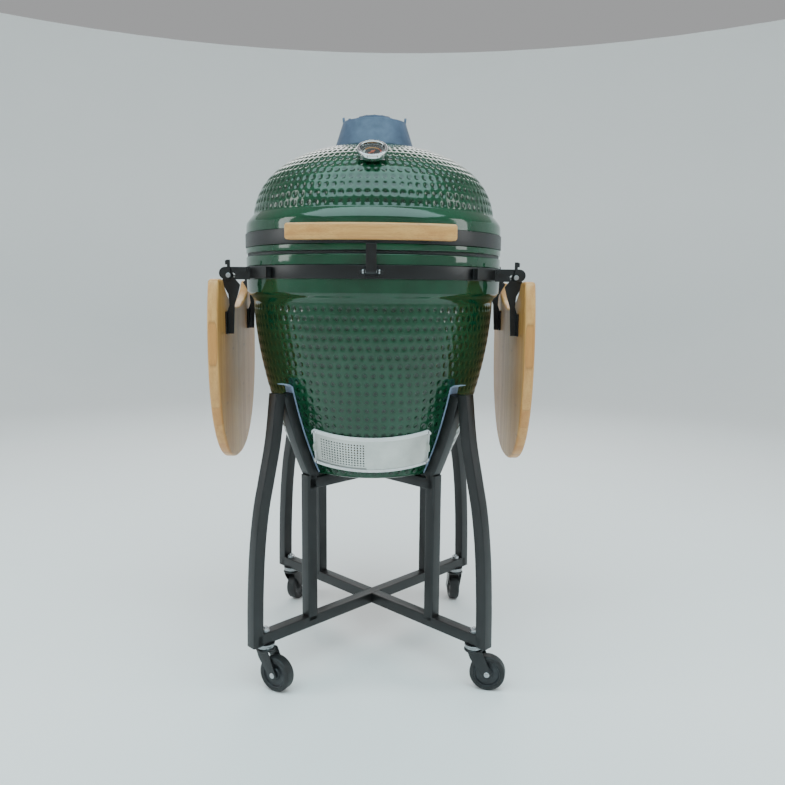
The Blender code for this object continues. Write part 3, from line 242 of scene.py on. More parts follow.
# %% Black powder coat
def powder_coat(name, colour, worn, roughness):
    made = new_material(name, colour, roughness, IOR=1.5)
    where = place_of(made)
    cloud = noise(made, 60, where, 4.0)
    join_to(made, "Base Color", mixed(made, spread(made, cloud, 0.4, 0.7, 0, 1), colour, worn))
    grain = noise(made, 1.2, where, 2.0)
    join_to(made, "Roughness", spread(made, grain, 0.3, 0.7, roughness - 0.08, roughness + 0.1))
    bumped(made, grain, 0.12, 0.6)
    return made


POWDER_COAT = powder_coat("powder_coated_steel", "#0C0C0D", "#151516", 0.36)
CASTER_PAINT = powder_coat("black_enamelled_steel", "#101012", "#1A1A1C", 0.32)

# %% [markdown]
# ## Laminated bamboo
# The handle and the shelves are bamboo strips, about 18 mm wide, glued edge to edge and oiled.
# Each strip comes from another cane, so the tone steps at each glue line. Fine fibres of under a
# millimetre run along the strip, and a darker knuckle crosses a cane every 250 mm or so.

# %% Bamboo
STRIP_W = 0.018
FIBRE_MM = 0.9
KNUCKLE_SPACING = 0.25


def bamboo(name, along, across):
    """Strips run along one axis (0 X, 1 Y, 2 Z) and lie side by side along another."""
    made = new_material(name, "#D3A768", 0.42, IOR=1.48, Coat_Weight=0.15, Coat_Roughness=0.25)
    split = add_node(made, "ShaderNodeSeparateXYZ", {"Vector": place_of(made)}).outputs
    side = add_node(made, "ShaderNodeMath", {0: split[across], 1: STRIP_W}, operation="DIVIDE").outputs[0]
    strip = add_node(made, "ShaderNodeMath", {0: side}, operation="FLOOR").outputs[0]
    cane = add_node(made, "ShaderNodeTexWhiteNoise", {"W": strip}, noise_dimensions="1D").outputs["Value"]
    within = add_node(made, "ShaderNodeMath", {0: side}, operation="FRACT").outputs[0]
    from_edge = add_node(made, "ShaderNodeMath", {0: within, 1: 0.5}, operation="SUBTRACT").outputs[0]
    edge = add_node(made, "ShaderNodeMath", {0: from_edge}, operation="ABSOLUTE").outputs[0]
    glue = spread(made, edge, 0.475, 0.5, 0.0, 0.5)
    stretch = [1.0, 1.0, 1.0]
    stretch[along] = 0.03
    fibre_place = place_of(made, tuple(stretch))
    fibre = noise(made, FIBRE_MM, fibre_place, 3.0, 0.6)
    broad = noise(made, 9, fibre_place, 3.0, 0.5)
    run = add_node(made, "ShaderNodeMath", {0: split[along], 1: cane}, operation="ADD").outputs[0]
    beat = add_node(made, "ShaderNodeMath", {0: run, 1: KNUCKLE_SPACING}, operation="PINGPONG").outputs[0]
    knuckle = spread(made, beat, 0.0, 0.004, 0.45, 0.0)
    tone = mixed(made, cane, "#DDAA66", "#C88B48")
    tone = mixed(made, spread(made, broad, 0.35, 0.7, 0.0, 0.6), tone, "#B5763E")
    tone = mixed(made, spread(made, fibre, 0.45, 0.75, 0.0, 0.5), tone, "#A26430")
    tone = mixed(made, knuckle, tone, "#8E5E33")
    join_to(made, "Base Color", mixed(made, glue, tone, "#8A5C34"))
    join_to(made, "Roughness", spread(made, fibre, 0.3, 0.7, 0.36, 0.52))
    bumped(made, fibre, 0.15, 0.5)
    return made


BAMBOO_HANDLE = bamboo("laminated_bamboo_along_x", 0, 2)
BAMBOO_SHELF = bamboo("laminated_bamboo_upright", 2, 1)
print("bamboo nodes:", len(BAMBOO_SHELF.node_tree.nodes))

# %% [markdown]
# ## Cast iron
# The top vent is sand-cast iron under a slate heat-resistant paint. The sand leaves a pebbled
# skin of 1 to 2 mm that the matt paint doesn't hide. The grates are bare iron, seasoned with oil,
# so they are darker and slightly glossy.

# %% Painted and seasoned cast iron
def cast_iron(name, dark, light, roughness, metallic):
    made = new_material(name, dark, roughness, metallic)
    where = place_of(made)
    sand = noise(made, 1.6, where, 4.0, 0.65)
    cloud = noise(made, 22, where, 3.0)
    join_to(made, "Base Color", mixed(made, spread(made, cloud, 0.3, 0.7, 0, 1), dark, light))
    join_to(made, "Roughness", spread(made, sand, 0.3, 0.7, roughness - 0.08, roughness + 0.12))
    bumped(made, sand, 0.35, 0.7)
    return made


VENT_IRON = cast_iron("painted_cast_iron", "#3B4A5F", "#4D5E76", 0.5, 0.15)
GRATE_IRON = cast_iron("seasoned_cast_iron", "#1D1B1A", "#2C2927", 0.55, 0.6)

# %% [markdown]
# ## Bright metals
# The draft vent is brushed stainless sheet: the belt leaves scratches along its length, which
# stretch the highlights. The thermometer's case is chrome plate, and the fasteners are zinc
# plated steel, a greyer and duller metal.

# %% Stainless, chrome, zinc and spring steel
def brushed(name, colour, light, roughness, stretch, depth_mm):
    made = new_material(name, colour, roughness, 1.0)
    where = place_of(made, stretch)
    scratch = noise(made, 0.8, where, 3.0, 0.7)
    cloud = noise(made, 40, place_of(made), 3.0)
    join_to(made, "Base Color", mixed(made, spread(made, cloud, 0.3, 0.7, 0, 1), colour, light))
    join_to(made, "Roughness", spread(made, scratch, 0.3, 0.7, roughness - 0.07, roughness + 0.1))
    bumped(made, scratch, depth_mm, 0.5)
    return made


STAINLESS = brushed("brushed_stainless_sheet", "#C4C4BF", "#D6D6D1", 0.36, (0.03, 0.03, 1.0), 0.04)
CHROME = brushed("chrome_plated_steel", "#D8D9DB", "#E6E7E8", 0.10, (1.0, 1.0, 1.0), 0.01)
ZINC = brushed("zinc_plated_steel", "#A6A8AB", "#BBBDBF", 0.30, (1.0, 1.0, 1.0), 0.05)
SPRING = brushed("oiled_spring_steel", "#3A3A3C", "#4A4A4C", 0.35, (1.0, 1.0, 1.0), 0.05)
RACE_RING = brushed("turned_steel_race", "#8E9093", "#A2A4A6", 0.25, (1.0, 1.0, 0.1), 0.03)

# %% [markdown]
# ## Felt, fire clay, rubber, plastic and glass
# The gaskets are black pressed felt. The cradle strips are felt as well, coloured pale grey-blue as a
# painted reflection of the sky; both felts are matt with a sheen from loose fibres. The fire box is
# coarse fired clay with soot on it. The wheels have moulded rubber treads on plastic centres.

# %% Soft, moulded and fired materials
def felt(name, dark, light):
    made = new_material(name, dark, 0.95, Sheen_Weight=0.4, Sheen_Roughness=0.5)
    where = place_of(made)
    wool = noise(made, 1.0, where, 5.0, 0.7)
    join_to(made, "Base Color", mixed(made, spread(made, wool, 0.35, 0.65, 0, 1), dark, light))
    bumped(made, wool, 0.5, 0.8)
    return made


def moulded(name, dark, light, roughness, grain_mm):
    made = new_material(name, dark, roughness, IOR=1.5)
    where = place_of(made)
    grain = noise(made, grain_mm, where, 2.0)
    dust = noise(made, 18, where, 4.0)
    join_to(made, "Base Color", mixed(made, spread(made, dust, 0.4, 0.75, 0, 1), dark, light))
    join_to(made, "Roughness", spread(made, grain, 0.3, 0.7, roughness - 0.08, roughness + 0.08))
    bumped(made, grain, 0.08, 0.5)
    return made


GASKET_FELT = felt("pressed_black_felt", "#0B0B0B", "#1A1A1A")
# painted reflection: the cradle felt's pale grey-blue colour stands in for the sky reflected on the strip
CRADLE_FELT = felt("felt_with_painted_sky_tint", "#6E7F9C", "#93A4BE")
TREAD = moulded("moulded_rubber", "#161617", "#262627", 0.55, 0.8)
HUB_PLASTIC = moulded("moulded_nylon", "#242528", "#303236", 0.4, 0.6)
FIRE_CLAY = moulded("fired_refractory_clay", "#A58D6C", "#5E5245", 0.9, 2.0)
DIAL_BLACK = moulded("screen_printed_dial", "#101012", "#17171A", 0.45, 0.3)
PRINT_WHITE = moulded("white_dial_ink", "#E2E0D8", "#EDEBE4", 0.5, 0.3)
PRINT_ORANGE = moulded("orange_dial_ink", "#E08A2A", "#E79A42", 0.5, 0.3)
PRINT_RED = moulded("red_dial_ink", "#C8321E", "#D2432E", 0.5, 0.3)
NEEDLE_PAINT = moulded("orange_enamel", "#E4581A", "#EA6A2C", 0.4, 0.3)
LENS = new_material("clear_soda_glass", "#F4FAFA", 0.02, IOR=1.5, Transmission_Weight=1.0)
print("materials:", len([m for m in bpy.data.materials if m.users or m.use_nodes]))

# %% [markdown]
# ## Mesh helpers
# A potter's shape is an outline turned round an axis, a pressed bracket is an outline with a
# thickness, and a tube is a section run along a path. These three makers cover most of the grill.
# Edges are never razor sharp on a real product, so outlines get a small round at each corner.

# %% Putting a mesh into the scene
def show(name, mesh, material, body, replaced=(), matrix=None, angle=38.0):
    """Links a mesh as a piece that rides on a body."""
    made = bpy.data.objects.new(name, mesh)
    bpy.context.scene.collection.objects.link(made)
    if material is not None:
        mesh.materials.clear()
        mesh.materials.append(material)
    if len(mesh.polygons):
        mesh.shade_smooth()
        mesh.set_sharp_from_angle(angle=math.radians(angle))
    if matrix is not None:
        made.matrix_world = matrix
    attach(made, body)
    if replaced:
        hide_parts(*replaced)
    return made


def from_bmesh(name, shape):
    bmesh.ops.recalc_face_normals(shape, faces=shape.faces)
    mesh = bpy.data.meshes.new(name)
    shape.to_mesh(mesh)
    shape.free()
    return mesh


# %% Outlines
def circle(radius, centre=(0.0, 0.0), count=48, start=0.0, end=360.0):
    closed = abs(end - start) >= 360.0
    parts = count if closed else count - 1
    turns = [math.radians(start + (end - start) * i / parts) for i in range(count)]
    return [(centre[0] + radius * math.cos(t), centre[1] + radius * math.sin(t)) for t in turns]


def rounded(outline, radius, steps=3):
    """A closed outline with each corner rounded."""
    result = []
    for i, here in enumerate(outline):
        here = Vector(here)
        back = Vector(outline[i - 1]) - here
        ahead = Vector(outline[(i + 1) % len(outline)]) - here
        if back.length < 1e-7 or ahead.length < 1e-7:
            continue
        cut = min(radius, back.length * 0.45, ahead.length * 0.45)
        if cut < 1e-5 or abs(back.angle(ahead) - math.pi) < 0.05:
            result.append(tuple(here))
            continue
        start, end = here + back.normalized() * cut, here + ahead.normalized() * cut
        for k in range(steps + 1):
            t = k / steps
            result.append(tuple(start * (1 - t) ** 2 + here * 2 * t * (1 - t) + end * t * t))
    return result


def smooth(points, per=6):
    """A Catmull-Rom curve through the points, ends included."""
    padded = [points[0], *points, points[-1]]
    curve = []
    for i in range(1, len(padded) - 2):
        before, here, after, beyond = (Vector(p) for p in padded[i - 1:i + 3])
        for k in range(per):
            t = k / per
            bend = (2 * here + (after - before) * t
                    + (2 * before - 5 * here + 4 * after - beyond) * t * t
                    + (3 * here - before - 3 * after + beyond) * t ** 3)
            curve.append(tuple(bend / 2))
    return curve + [tuple(points[-1])]


def between(low, high, count):
    return [low + (high - low) * i / (count - 1) for i in range(count)]


# %% Turned, pressed and swept meshes
def turned(name, outline, steps=96, closed=True):
    """A full turn of an outline of (radius, z); an open outline starts and ends on the axis."""
    count = len(outline)
    turns = np.arange(steps) * math.tau / steps
    r = np.array([p[0] for p in outline])
    z = np.array([p[1] for p in outline])
    verts = np.stack([np.outer(r, np.cos(turns)), np.outer(r, np.sin(turns)),
                      np.outer(z, np.ones(steps))], axis=-1).reshape(-1, 3)
    faces = []
    for i in range(count if closed else count - 1):
        a, b = i * steps, ((i + 1) % count) * steps
        faces += [(a + j, a + (j + 1) % steps, b + (j + 1) % steps, b + j) for j in range(steps)]
    shape = bmesh.new()
    corners = [shape.verts.new(v) for v in verts]
    for face in faces:
        shape.faces.new([corners[i] for i in face])
    bmesh.ops.remove_doubles(shape, verts=shape.verts, dist=1e-7)
    return from_bmesh(name, shape)


def pressed(name, loops, thickness, edge=0.0, matrix=None, edge_steps=2):
    """Flat outlines with holes, thickened and with rounded edges, centred on their own plane."""
    curve = bpy.data.curves.new(name, "CURVE")
    curve.dimensions = "2D"
    curve.fill_mode = "BOTH"
    curve.extrude = thickness / 2 - edge
    curve.bevel_depth = edge
    curve.bevel_resolution = edge_steps
    curve.offset = -edge
    for loop in loops:
        spline = curve.splines.new("POLY")
        spline.points.add(len(loop) - 1)
        spline.use_cyclic_u = True
        for point, (x, y) in zip(spline.points, loop):
            point.co = (x, y, 0.0, 1.0)
    guide = bpy.data.objects.new(name + "_guide", curve)
    bpy.context.scene.collection.objects.link(guide)
    bpy.context.view_layer.update()
    drawn = bpy.data.meshes.new_from_object(guide.evaluated_get(bpy.context.evaluated_depsgraph_get()))
    bpy.data.objects.remove(guide, do_unlink=True)
    shape = bmesh.new()
    shape.from_mesh(drawn)
    bpy.data.meshes.remove(drawn)
    bmesh.ops.remove_doubles(shape, verts=shape.verts, dist=1e-6)
    if matrix is not None:
        bmesh.ops.transform(shape, matrix=matrix, verts=shape.verts)
    return from_bmesh(name, shape)


def swept(name, path, section):
    """A closed section of (sideways, up) points run along a path of 3D points in an upright plane."""
    shape = bmesh.new()
    rings = []
    flat = Vector((path[-1][0] - path[0][0], path[-1][1] - path[0][1], 0.0))
    if flat.length < 1e-6:
        flat = Vector((path[0][0], path[0][1], 0.0))
    sideways = flat.normalized().cross(Vector((0, 0, 1)))
    for i, point in enumerate(path):
        run = (Vector(path[min(i + 1, len(path) - 1)]) - Vector(path[max(i - 1, 0)])).normalized()
        up = sideways.cross(run).normalized()
        rings.append([shape.verts.new(Vector(point) + sideways * s + up * u) for s, u in section])
    for first, second in zip(rings, rings[1:]):
        for j in range(len(section)):
            k = (j + 1) % len(section)
            shape.faces.new((first[j], first[k], second[k], second[j]))
    shape.faces.new(rings[0])
    shape.faces.new(rings[-1])
    return from_bmesh(name, shape)


def merged(name, *meshes):
    """Several meshes as one; each keeps its own material."""
    shape = bmesh.new()
    looks = []
    for mesh in meshes:
        start = len(shape.faces)
        shape.from_mesh(mesh)
        shape.faces.ensure_lookup_table()
        shift = len(looks)
        for face in shape.faces[start:]:
            face.material_index += shift
        looks += list(mesh.materials)
    result = bpy.data.meshes.new(name)
    shape.to_mesh(result)
    shape.free()
    for look in looks:
        result.materials.append(look)
    return result


def coated(mesh, material):
    mesh.materials.append(material)
    return mesh


def moved(mesh, matrix):
    mesh.transform(matrix)
    return mesh


def facing(point, direction):
    """A place whose Z axis looks along a direction."""
    return Matrix.Translation(point) @ Vector(direction).to_track_quat("Z", "Y").to_matrix().to_4x4()


# %% [markdown]
# ## The dimpled shells
# The mould presses rounded pits into the clay. On the lid they stand in 96 straight columns that
# close up towards the top. On the bowl each row has as many pits as fit at a 17.5 mm pitch, and
# every other row is shifted by half. Bump mapping would leave the outline smooth, so the pits are
# real geometry: a fine grid is turned round the axis and each point is pushed in along the normal.

# %% Resampling a profile and pushing in the pits
def resampled(points, step):
    """The same line with points a step apart."""
    line = np.array(points)
    lengths = np.concatenate([[0], np.cumsum(np.linalg.norm(np.diff(line, axis=0), axis=1))])
    count = max(2, int(round(lengths[-1] / step)) + 1)
    at = np.linspace(0, lengths[-1], count)
    return np.stack([np.interp(at, lengths, line[:, 0]), np.interp(at, lengths, line[:, 1])], axis=1), at


def pit_depths(profile, at, rows, columns, depth, power):
    """How deep each grid point lies. A row is (distance along, count, shift, half width, half height)."""
    turns = np.arange(columns) * math.tau / columns
    result = np.zeros((len(profile), columns))
    centres = np.array([row[0] for row in rows])
    for i, s in enumerate(at):
        along, count, shift, wide, high = rows[int(np.argmin(np.abs(centres - s)))]
        v = (s - along) / high
        if abs(v) >= 1:
            continue
        share = (turns * count / math.tau + shift) % 1.0 - 0.5
        u = share * math.tau * profile[i, 0] / count / wide
        result[i] = depth * np.clip(1 - u * u - v * v, 0, None) ** power
    return result


def dimpled_shell(name, before, dimpled, after, rows, columns, depth, power, step):
    """Plain profile points, then the dimpled stretch, then plain ones, all turned round the axis."""
    fine, at = resampled(dimpled, step)
    push = pit_depths(fine, at, rows(fine, at), columns, depth, power)
    line = np.concatenate([np.array(before), fine, np.array(after)])
    depths = np.concatenate([np.zeros((len(before), columns)), push, np.zeros((len(after), columns))])
    slope = np.gradient(line, axis=0)
    normal = np.stack([-slope[:, 1], slope[:, 0]], axis=1)
    normal /= np.linalg.norm(normal, axis=1, keepdims=True)
    if normal[len(before) + len(fine) // 2, 0] < 0:
        normal = -normal
    turns = np.arange(columns) * math.tau / columns
    radius = line[:, :1] - normal[:, :1] * depths
    height = line[:, 1:] - normal[:, 1:] * depths
    verts = np.stack([radius * np.cos(turns), radius * np.sin(turns), height], axis=-1).reshape(-1, 3)
    return line, verts, depths / depth


def grid_mesh(name, verts, count, columns, closed, pit_shade):
    ring = np.arange(columns)
    following = (ring + 1) % columns
    faces = []
    for i in range(count if closed else count - 1):
        a, b = i * columns, ((i + 1) % count) * columns
        faces += np.stack([a + ring, b + ring, b + following, a + following], axis=1).tolist()
    if not closed:
        faces.append(list(range(columns)))
        faces.append(list(range((count - 1) * columns, count * columns))[::-1])
    mesh = bpy.data.meshes.new(name)
    mesh.from_pydata(verts.tolist(), [], faces)
    store = mesh.attributes.new("pit_shade", "FLOAT", "POINT")
    store.data.foreach_set("value", pit_shade.reshape(-1).astype(np.float32))
    shape = bmesh.new()
    shape.from_mesh(mesh)
    bmesh.ops.recalc_face_normals(shape, faces=shape.faces)
    shape.to_mesh(mesh)
    shape.free()
    return mesh


# %% The lid
LID_BAND_LOW, LID_BAND_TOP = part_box("lid_band")[0].z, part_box("lid_band")[1].z
BASE_BAND_LOW, BASE_BAND_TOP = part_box("base_band")[0].z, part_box("base_band")[1].z
LID_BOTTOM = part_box("lid_shell")[0].z
BASE_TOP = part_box("base_shell")[1].z
SEAT_R = RIM_R - 0.0015
RIM_IN = RIM_R - WALL
LID_COLUMNS = 96
LID_ROW_PITCH = 0.0175
PIT_SHARE = 0.425
LID_PIT_DEPTH = 0.0018
LID_PIT_POWER = 1.15
LID_STEP = 0.0021


def lid_rows(profile, at):
    """Evenly spaced rows of straight columns, up to the edge of the vent."""
    rows = []
    s = at[-1] - LID_ROW_PITCH / 2
    while s > 0.004:
        around = math.tau * float(np.interp(s, at, profile[:, 0])) / LID_COLUMNS
        rows.append((s, LID_COLUMNS, 0.0, around * PIT_SHARE, LID_ROW_PITCH * PIT_SHARE))
        s -= LID_ROW_PITCH
    return rows


foot_angle = math.degrees(math.asin(((DOME_FOOT - DOME_CENTRE) / DOME_RISE) ** (DOME_POWER / 2)))
dome_line = [dome_point(a) for a in between(dome_angle(0.080), foot_angle, 160)]
crown = [dome_point(a) for a in between(dome_angle(CHIMNEY_R), dome_angle(0.081), 8)]
collar = smooth([dome_line[-1], (DOME_R + 0.0045, DOME_FOOT - 0.0055), (RIM_R - 0.0042, DOME_FOOT - 0.0155),
                 (RIM_R - 0.0012, DOME_FOOT - 0.0235), (RIM_R - 0.0005, LID_BAND_TOP + 0.0012)], 5)[1:]
lid_rim = rounded([(SEAT_R, LID_BAND_TOP + 0.0005), (SEAT_R, LID_BAND_LOW - 0.0005),
                   (RIM_R, LID_BAND_LOW - 0.0012), (RIM_R, LID_BOTTOM), (RIM_IN, LID_BOTTOM),
                   (RIM_IN, DOME_CENTRE - 0.030)], 0.0025, 4)[4:-4]
lid_inside = [dome_point(a, WALL) for a in between(0.0, dome_angle(CHIMNEY_R, WALL), 24)]
lid_after = [*collar, (SEAT_R, LID_BAND_TOP + 0.0005), *lid_rim, (RIM_IN, DOME_CENTRE - 0.030), *lid_inside]
LID_GRID = LID_COLUMNS * 9
line, verts, pit_shade = dimpled_shell("lid", crown, dome_line, lid_after, lid_rows, LID_GRID,
                                  LID_PIT_DEPTH, LID_PIT_POWER, LID_STEP)
lid_mesh = grid_mesh("lid_ceramic", verts, len(line), LID_GRID, True, pit_shade)
show("lid_ceramic", lid_mesh, GLAZE, "lid", ["lid_shell"], angle=50)
print("lid faces:", len(lid_mesh.polygons))

# %% The bowl
BASE_PIT_PITCH = 0.0175
BASE_ROW_PITCH = 0.0190
BASE_PIT_R = 0.00725
BASE_PIT_DEPTH = 0.0014
BASE_PIT_POWER = 1.3
BASE_STEP = 0.0024
BASE_GRID = 800
FLOOR_T = 0.025
HUB_R = 0.02


def base_rows(profile, at):
    rows = []
    s = 0.0115
    while s < at[-1] - 0.004:
        radius = float(np.interp(s, at, profile[:, 0]))
        count = round(math.tau * radius / BASE_PIT_PITCH)
        rows.append((s, count, 0.5 * (len(rows) % 2), BASE_PIT_R, BASE_PIT_R))
        s += BASE_ROW_PITCH
    return rows


bowl = [(body_radius(z), z) for z in between(BODY_TOP - 0.001, EGG_BOTTOM + FOOT_ROUND, 160)]
upper = rounded([(RIM_IN, BASE_TOP - 0.03), (RIM_IN, BASE_TOP), (RIM_R, BASE_TOP),
                 (RIM_R, BASE_BAND_TOP + 0.0012), (SEAT_R, BASE_BAND_TOP + 0.0005),
                 (SEAT_R, BASE_BAND_LOW - 0.0005), (SEAT_R, BASE_BAND_LOW - 0.03)], 0.0025, 4)[4:-4]
skirt = smooth([(RIM_R - 0.0006, BASE_BAND_LOW - 0.0012), (RIM_R - 0.0016, BODY_TOP + 0.026),
                (RIM_R - 0.0050, BODY_TOP + 0.0155), (RIM_R - 0.0115, BODY_TOP + 0.0085),
                (BODY_R, BODY_TOP)], 5)[:-1]
floor_in = EGG_BOTTOM + FLOOR_T
inside = [(body_radius(z) - WALL, z) for z in between(floor_in, BODY_TOP - 0.006, 24)]
inner_up = [(HUB_R, floor_in)] + inside + [(RIM_IN, BODY_TOP + 0.015)]
foot = [(BODY_FOOT_R - 0.0017, EGG_BOTTOM + 0.0022), (BODY_FOOT_R - FOOT_ROUND, EGG_BOTTOM),
        (HUB_R, EGG_BOTTOM)]
line, verts, pit_shade = dimpled_shell("base", inner_up + upper + skirt, bowl, foot, base_rows, BASE_GRID,
                                  BASE_PIT_DEPTH, BASE_PIT_POWER, BASE_STEP)
base_mesh = grid_mesh("base_ceramic", verts, len(line), BASE_GRID, False, pit_shade)
print("bowl faces:", len(base_mesh.polygons))

# %% [markdown]
# ## The draft vent
# A stainless frame is screwed to the foot of the bowl. Behind its turned lips slide a perforated
# screen on the left and a plain door on the right. The bowl is nearly a cone there, and a straight
# sheet wrapped round a cone curls up at its ends. Turning each sheet round an axis that leans
# forwards gives that curl and still lets the door and the screen slide without bending. So a point
# is given by its angle about that axis, its length up the side and its distance out from it.

# %% The vent's own axis
DRAFT_Z = EGG_BOTTOM + 0.058
FRONT = -90.0
slope = (body_radius(DRAFT_Z + 0.0005) - body_radius(DRAFT_Z - 0.0005)) / 0.001
vent_joint = next(j for j in frame["joints"] if j["name"] == "draft_screen_slide")
VENT_TILT = math.atan2(-vent_joint["axis"][1], vent_joint["axis"][2])
VENT_PLACE = Matrix.Translation(vent_joint["pos_m"]) @ Matrix.Rotation(VENT_TILT, 4, "X")
VENT_R = -(VENT_PLACE.inverted() @ Vector((0.0, -body_radius(DRAFT_Z), DRAFT_Z))).y
VENT_LEAN = math.atan(slope) - VENT_TILT
CONE_UP = Vector((math.sin(VENT_LEAN), math.cos(VENT_LEAN)))
CONE_OUT = Vector((CONE_UP.y, -CONE_UP.x))
ARC_PER_DEGREE = math.radians(1) * VENT_R
DRAFT_HALF_H = 0.0425
DRAFT_HALF_ANGLE = 35.0
PANEL_HALF_H = 0.0365
PANEL_END = 33.6
PANEL_SEAM = -2.6
SEAM_GAP = 0.2
PORT_HALF_ANGLE, PORT_HALF_H = 17.0, 0.024
# how far out each layer of sheet starts and ends
LAYERS = {"back": (0.0006, 0.0016), "screen": (0.0020, 0.0028), "door": (0.0032, 0.0042),
          "lip": (0.0046, 0.0056)}
CORNER_SHARES = (0.03, 0.12, 0.3, 0.55, 0.8)
print("vent axis leans", round(math.degrees(VENT_TILT)), "degrees, radius", round(VENT_R * 1000), "mm")


def on_cone(angle, up, out):
    flat = Vector((VENT_R, 0.0)) + CONE_UP * up + CONE_OUT * out
    turn = math.radians(FRONT + angle)
    return VENT_PLACE @ Vector((flat.x * math.cos(turn), flat.x * math.sin(turn), flat.y))


def cone_normal(angle):
    turn = math.radians(FRONT + angle)
    outwards = Vector((CONE_OUT.x * math.cos(turn), CONE_OUT.x * math.sin(turn), CONE_OUT.y))
    return VENT_PLACE.to_3x3() @ outwards


def cone_loft(name, stations, section):
    """Sections at a list of (angle, half height), joined and closed at both ends."""
    shape = bmesh.new()
    rings = [[shape.verts.new(on_cone(angle, up, out)) for up, out in section(half)]
             for angle, half in stations]
    for first, second in zip(rings, rings[1:]):
        for j in range(len(first)):
            k = (j + 1) % len(first)
            shape.faces.new((first[j], first[k], second[k], second[j]))
    shape.faces.new(rings[0])
    shape.faces.new(rings[-1])
    return from_bmesh(name, shape)


def sheet_stations(start, end, half, round_start, round_end, count=40):
    """Stations whose height drops at the ends, for rounded corners."""
    angles = between(start, end, count)
    for side, radius in ((0, round_start), (1, round_end)):
        edge = angles[0] if side == 0 else angles[-1]
        sign = 1 if side == 0 else -1
        if radius:
            angles += [edge + sign * radius / ARC_PER_DEGREE * t for t in CORNER_SHARES]
    stations = []
    for angle in sorted(angles):
        drop = 0.0
        for edge, radius in ((start, round_start), (end, round_end)):
            near = abs(angle - edge) * ARC_PER_DEGREE
            if radius and near < radius:
                drop = radius - math.sqrt(max(radius ** 2 - (radius - near) ** 2, 0))
        stations.append((angle, half - drop))
    return stations


def flat_section(layer):
    return lambda half: [(-half, layer[0]), (-half, layer[1]), (half, layer[1]), (half, layer[0])]


# %% The port through the ceramic
SEAT_HALF_ANGLE = 36.5
SEAT_MARGIN = 0.003


def cut_with(target_mesh, cutter_mesh, name):
    """The mesh with a cutter taken out of it."""
    target = bpy.data.objects.new(name + "_target", target_mesh)
    cutter = bpy.data.objects.new(name + "_cutter", cutter_mesh)
    for made in (target, cutter):
        bpy.context.scene.collection.objects.link(made)
    modifier = target.modifiers.new("cut", "BOOLEAN")
    modifier.operation = "DIFFERENCE"
    modifier.solver = "MANIFOLD"
    modifier.object = cutter
    bpy.context.view_layer.update()
    result = bpy.data.meshes.new_from_object(target.evaluated_get(bpy.context.evaluated_depsgraph_get()))
    bpy.data.objects.remove(target, do_unlink=True)
    bpy.data.objects.remove(cutter, do_unlink=True)
    result.name = name
    return result


port = cone_loft("port", [(a, PORT_HALF_H) for a in between(-PORT_HALF_ANGLE, PORT_HALF_ANGLE, 15)],
                 flat_section((-0.05, 0.01)))
seat_line = [(a, DRAFT_HALF_H + SEAT_MARGIN) for a in between(-SEAT_HALF_ANGLE, SEAT_HALF_ANGLE, 41)]
seat = cone_loft("seat", seat_line, flat_section((0.0002, 0.02)))
base_cut = cut_with(cut_with(base_mesh, port, "base_ported"), seat, "base_ceramic")
show("base_ceramic", base_cut, GLAZE, "base", ["base_shell"], angle=50)
print("bowl faces after the port:", len(base_cut.polygons))


# %% Frame, door and their small parts
WINDOW_HALF_ANGLE, WINDOW_HALF_H = 30, 0.030
SCREW_ANGLE, SCREW_UP = 32.4, 0.0386
SCREW_HEAD = [(0.0, 0.0026), (0.0016, 0.0025), (0.0032, 0.0017), (0.0038, 0.0006), (0.0038, -0.0004),
              (0.0, -0.0004)]


def frame_section(half):
    back, lip = LAYERS["back"], LAYERS["lip"]
    web, edge = half - 0.002, half - 0.0065
    right = [(web, back[1]), (web, lip[0]), (edge, lip[0]), (edge, lip[1]), (half - 0.0006, lip[1]),
             (half, lip[1] - 0.0006), (half, back[0])]
    return [(-up, out) for up, out in reversed(right)] + right


vent_frame = cone_loft("draft_vent_frame", sheet_stations(-DRAFT_HALF_ANGLE, DRAFT_HALF_ANGLE, DRAFT_HALF_H,
                                                          0.006, 0.006, 48), frame_section)
window_line = [(a, WINDOW_HALF_H) for a in between(-WINDOW_HALF_ANGLE, WINDOW_HALF_ANGLE, 31)]
window = cone_loft("window", window_line, flat_section((-0.002, 0.0018)))
vent_frame = cut_with(vent_frame, window, "draft_vent_frame")
screws = []
for angle in (-SCREW_ANGLE, SCREW_ANGLE):
    for up in (-SCREW_UP, SCREW_UP):
        place = facing(on_cone(angle, up, LAYERS["lip"][1]), cone_normal(angle))
        screws.append(coated(moved(turned("screw", SCREW_HEAD, 20, closed=False), place), CHROME))
coated(vent_frame, STAINLESS)
show("draft_vent_frame", merged("draft_vent_frame", vent_frame, *screws), None, "base", ["draft_frame"])


def pull_tab(side, layer):
    """A tongue at the sheet's outer end, bent outwards to a rounded edge."""
    outline = rounded([(-0.012, 0.0), (-0.0085, 0.0085), (0.0085, 0.0085), (0.012, 0.0)], 0.003, 3)
    angle = side * PANEL_END
    shape = bmesh.new()
    near = [shape.verts.new(on_cone(angle, up, layer[0] + out)) for up, out in outline]
    inner = angle - side * 0.0009 / ARC_PER_DEGREE
    far = [shape.verts.new(on_cone(inner, up, layer[0] + out)) for up, out in outline]
    for j in range(len(outline)):
        k = (j + 1) % len(outline)
        shape.faces.new((near[j], near[k], far[k], far[j]))
    shape.faces.new(near)
    shape.faces.new(far)
    return coated(from_bmesh("tab", shape), STAINLESS)


door_line = sheet_stations(PANEL_SEAM + SEAM_GAP, PANEL_END, PANEL_HALF_H, 0.0015, 0.003, 26)
door = coated(cone_loft("draft_door_sheet", door_line, flat_section(LAYERS["door"])), STAINLESS)
show("draft_door_sheet", merged("draft_door_sheet", door, pull_tab(1, LAYERS["door"])), None,
     "door_panel", ["draft_door"])


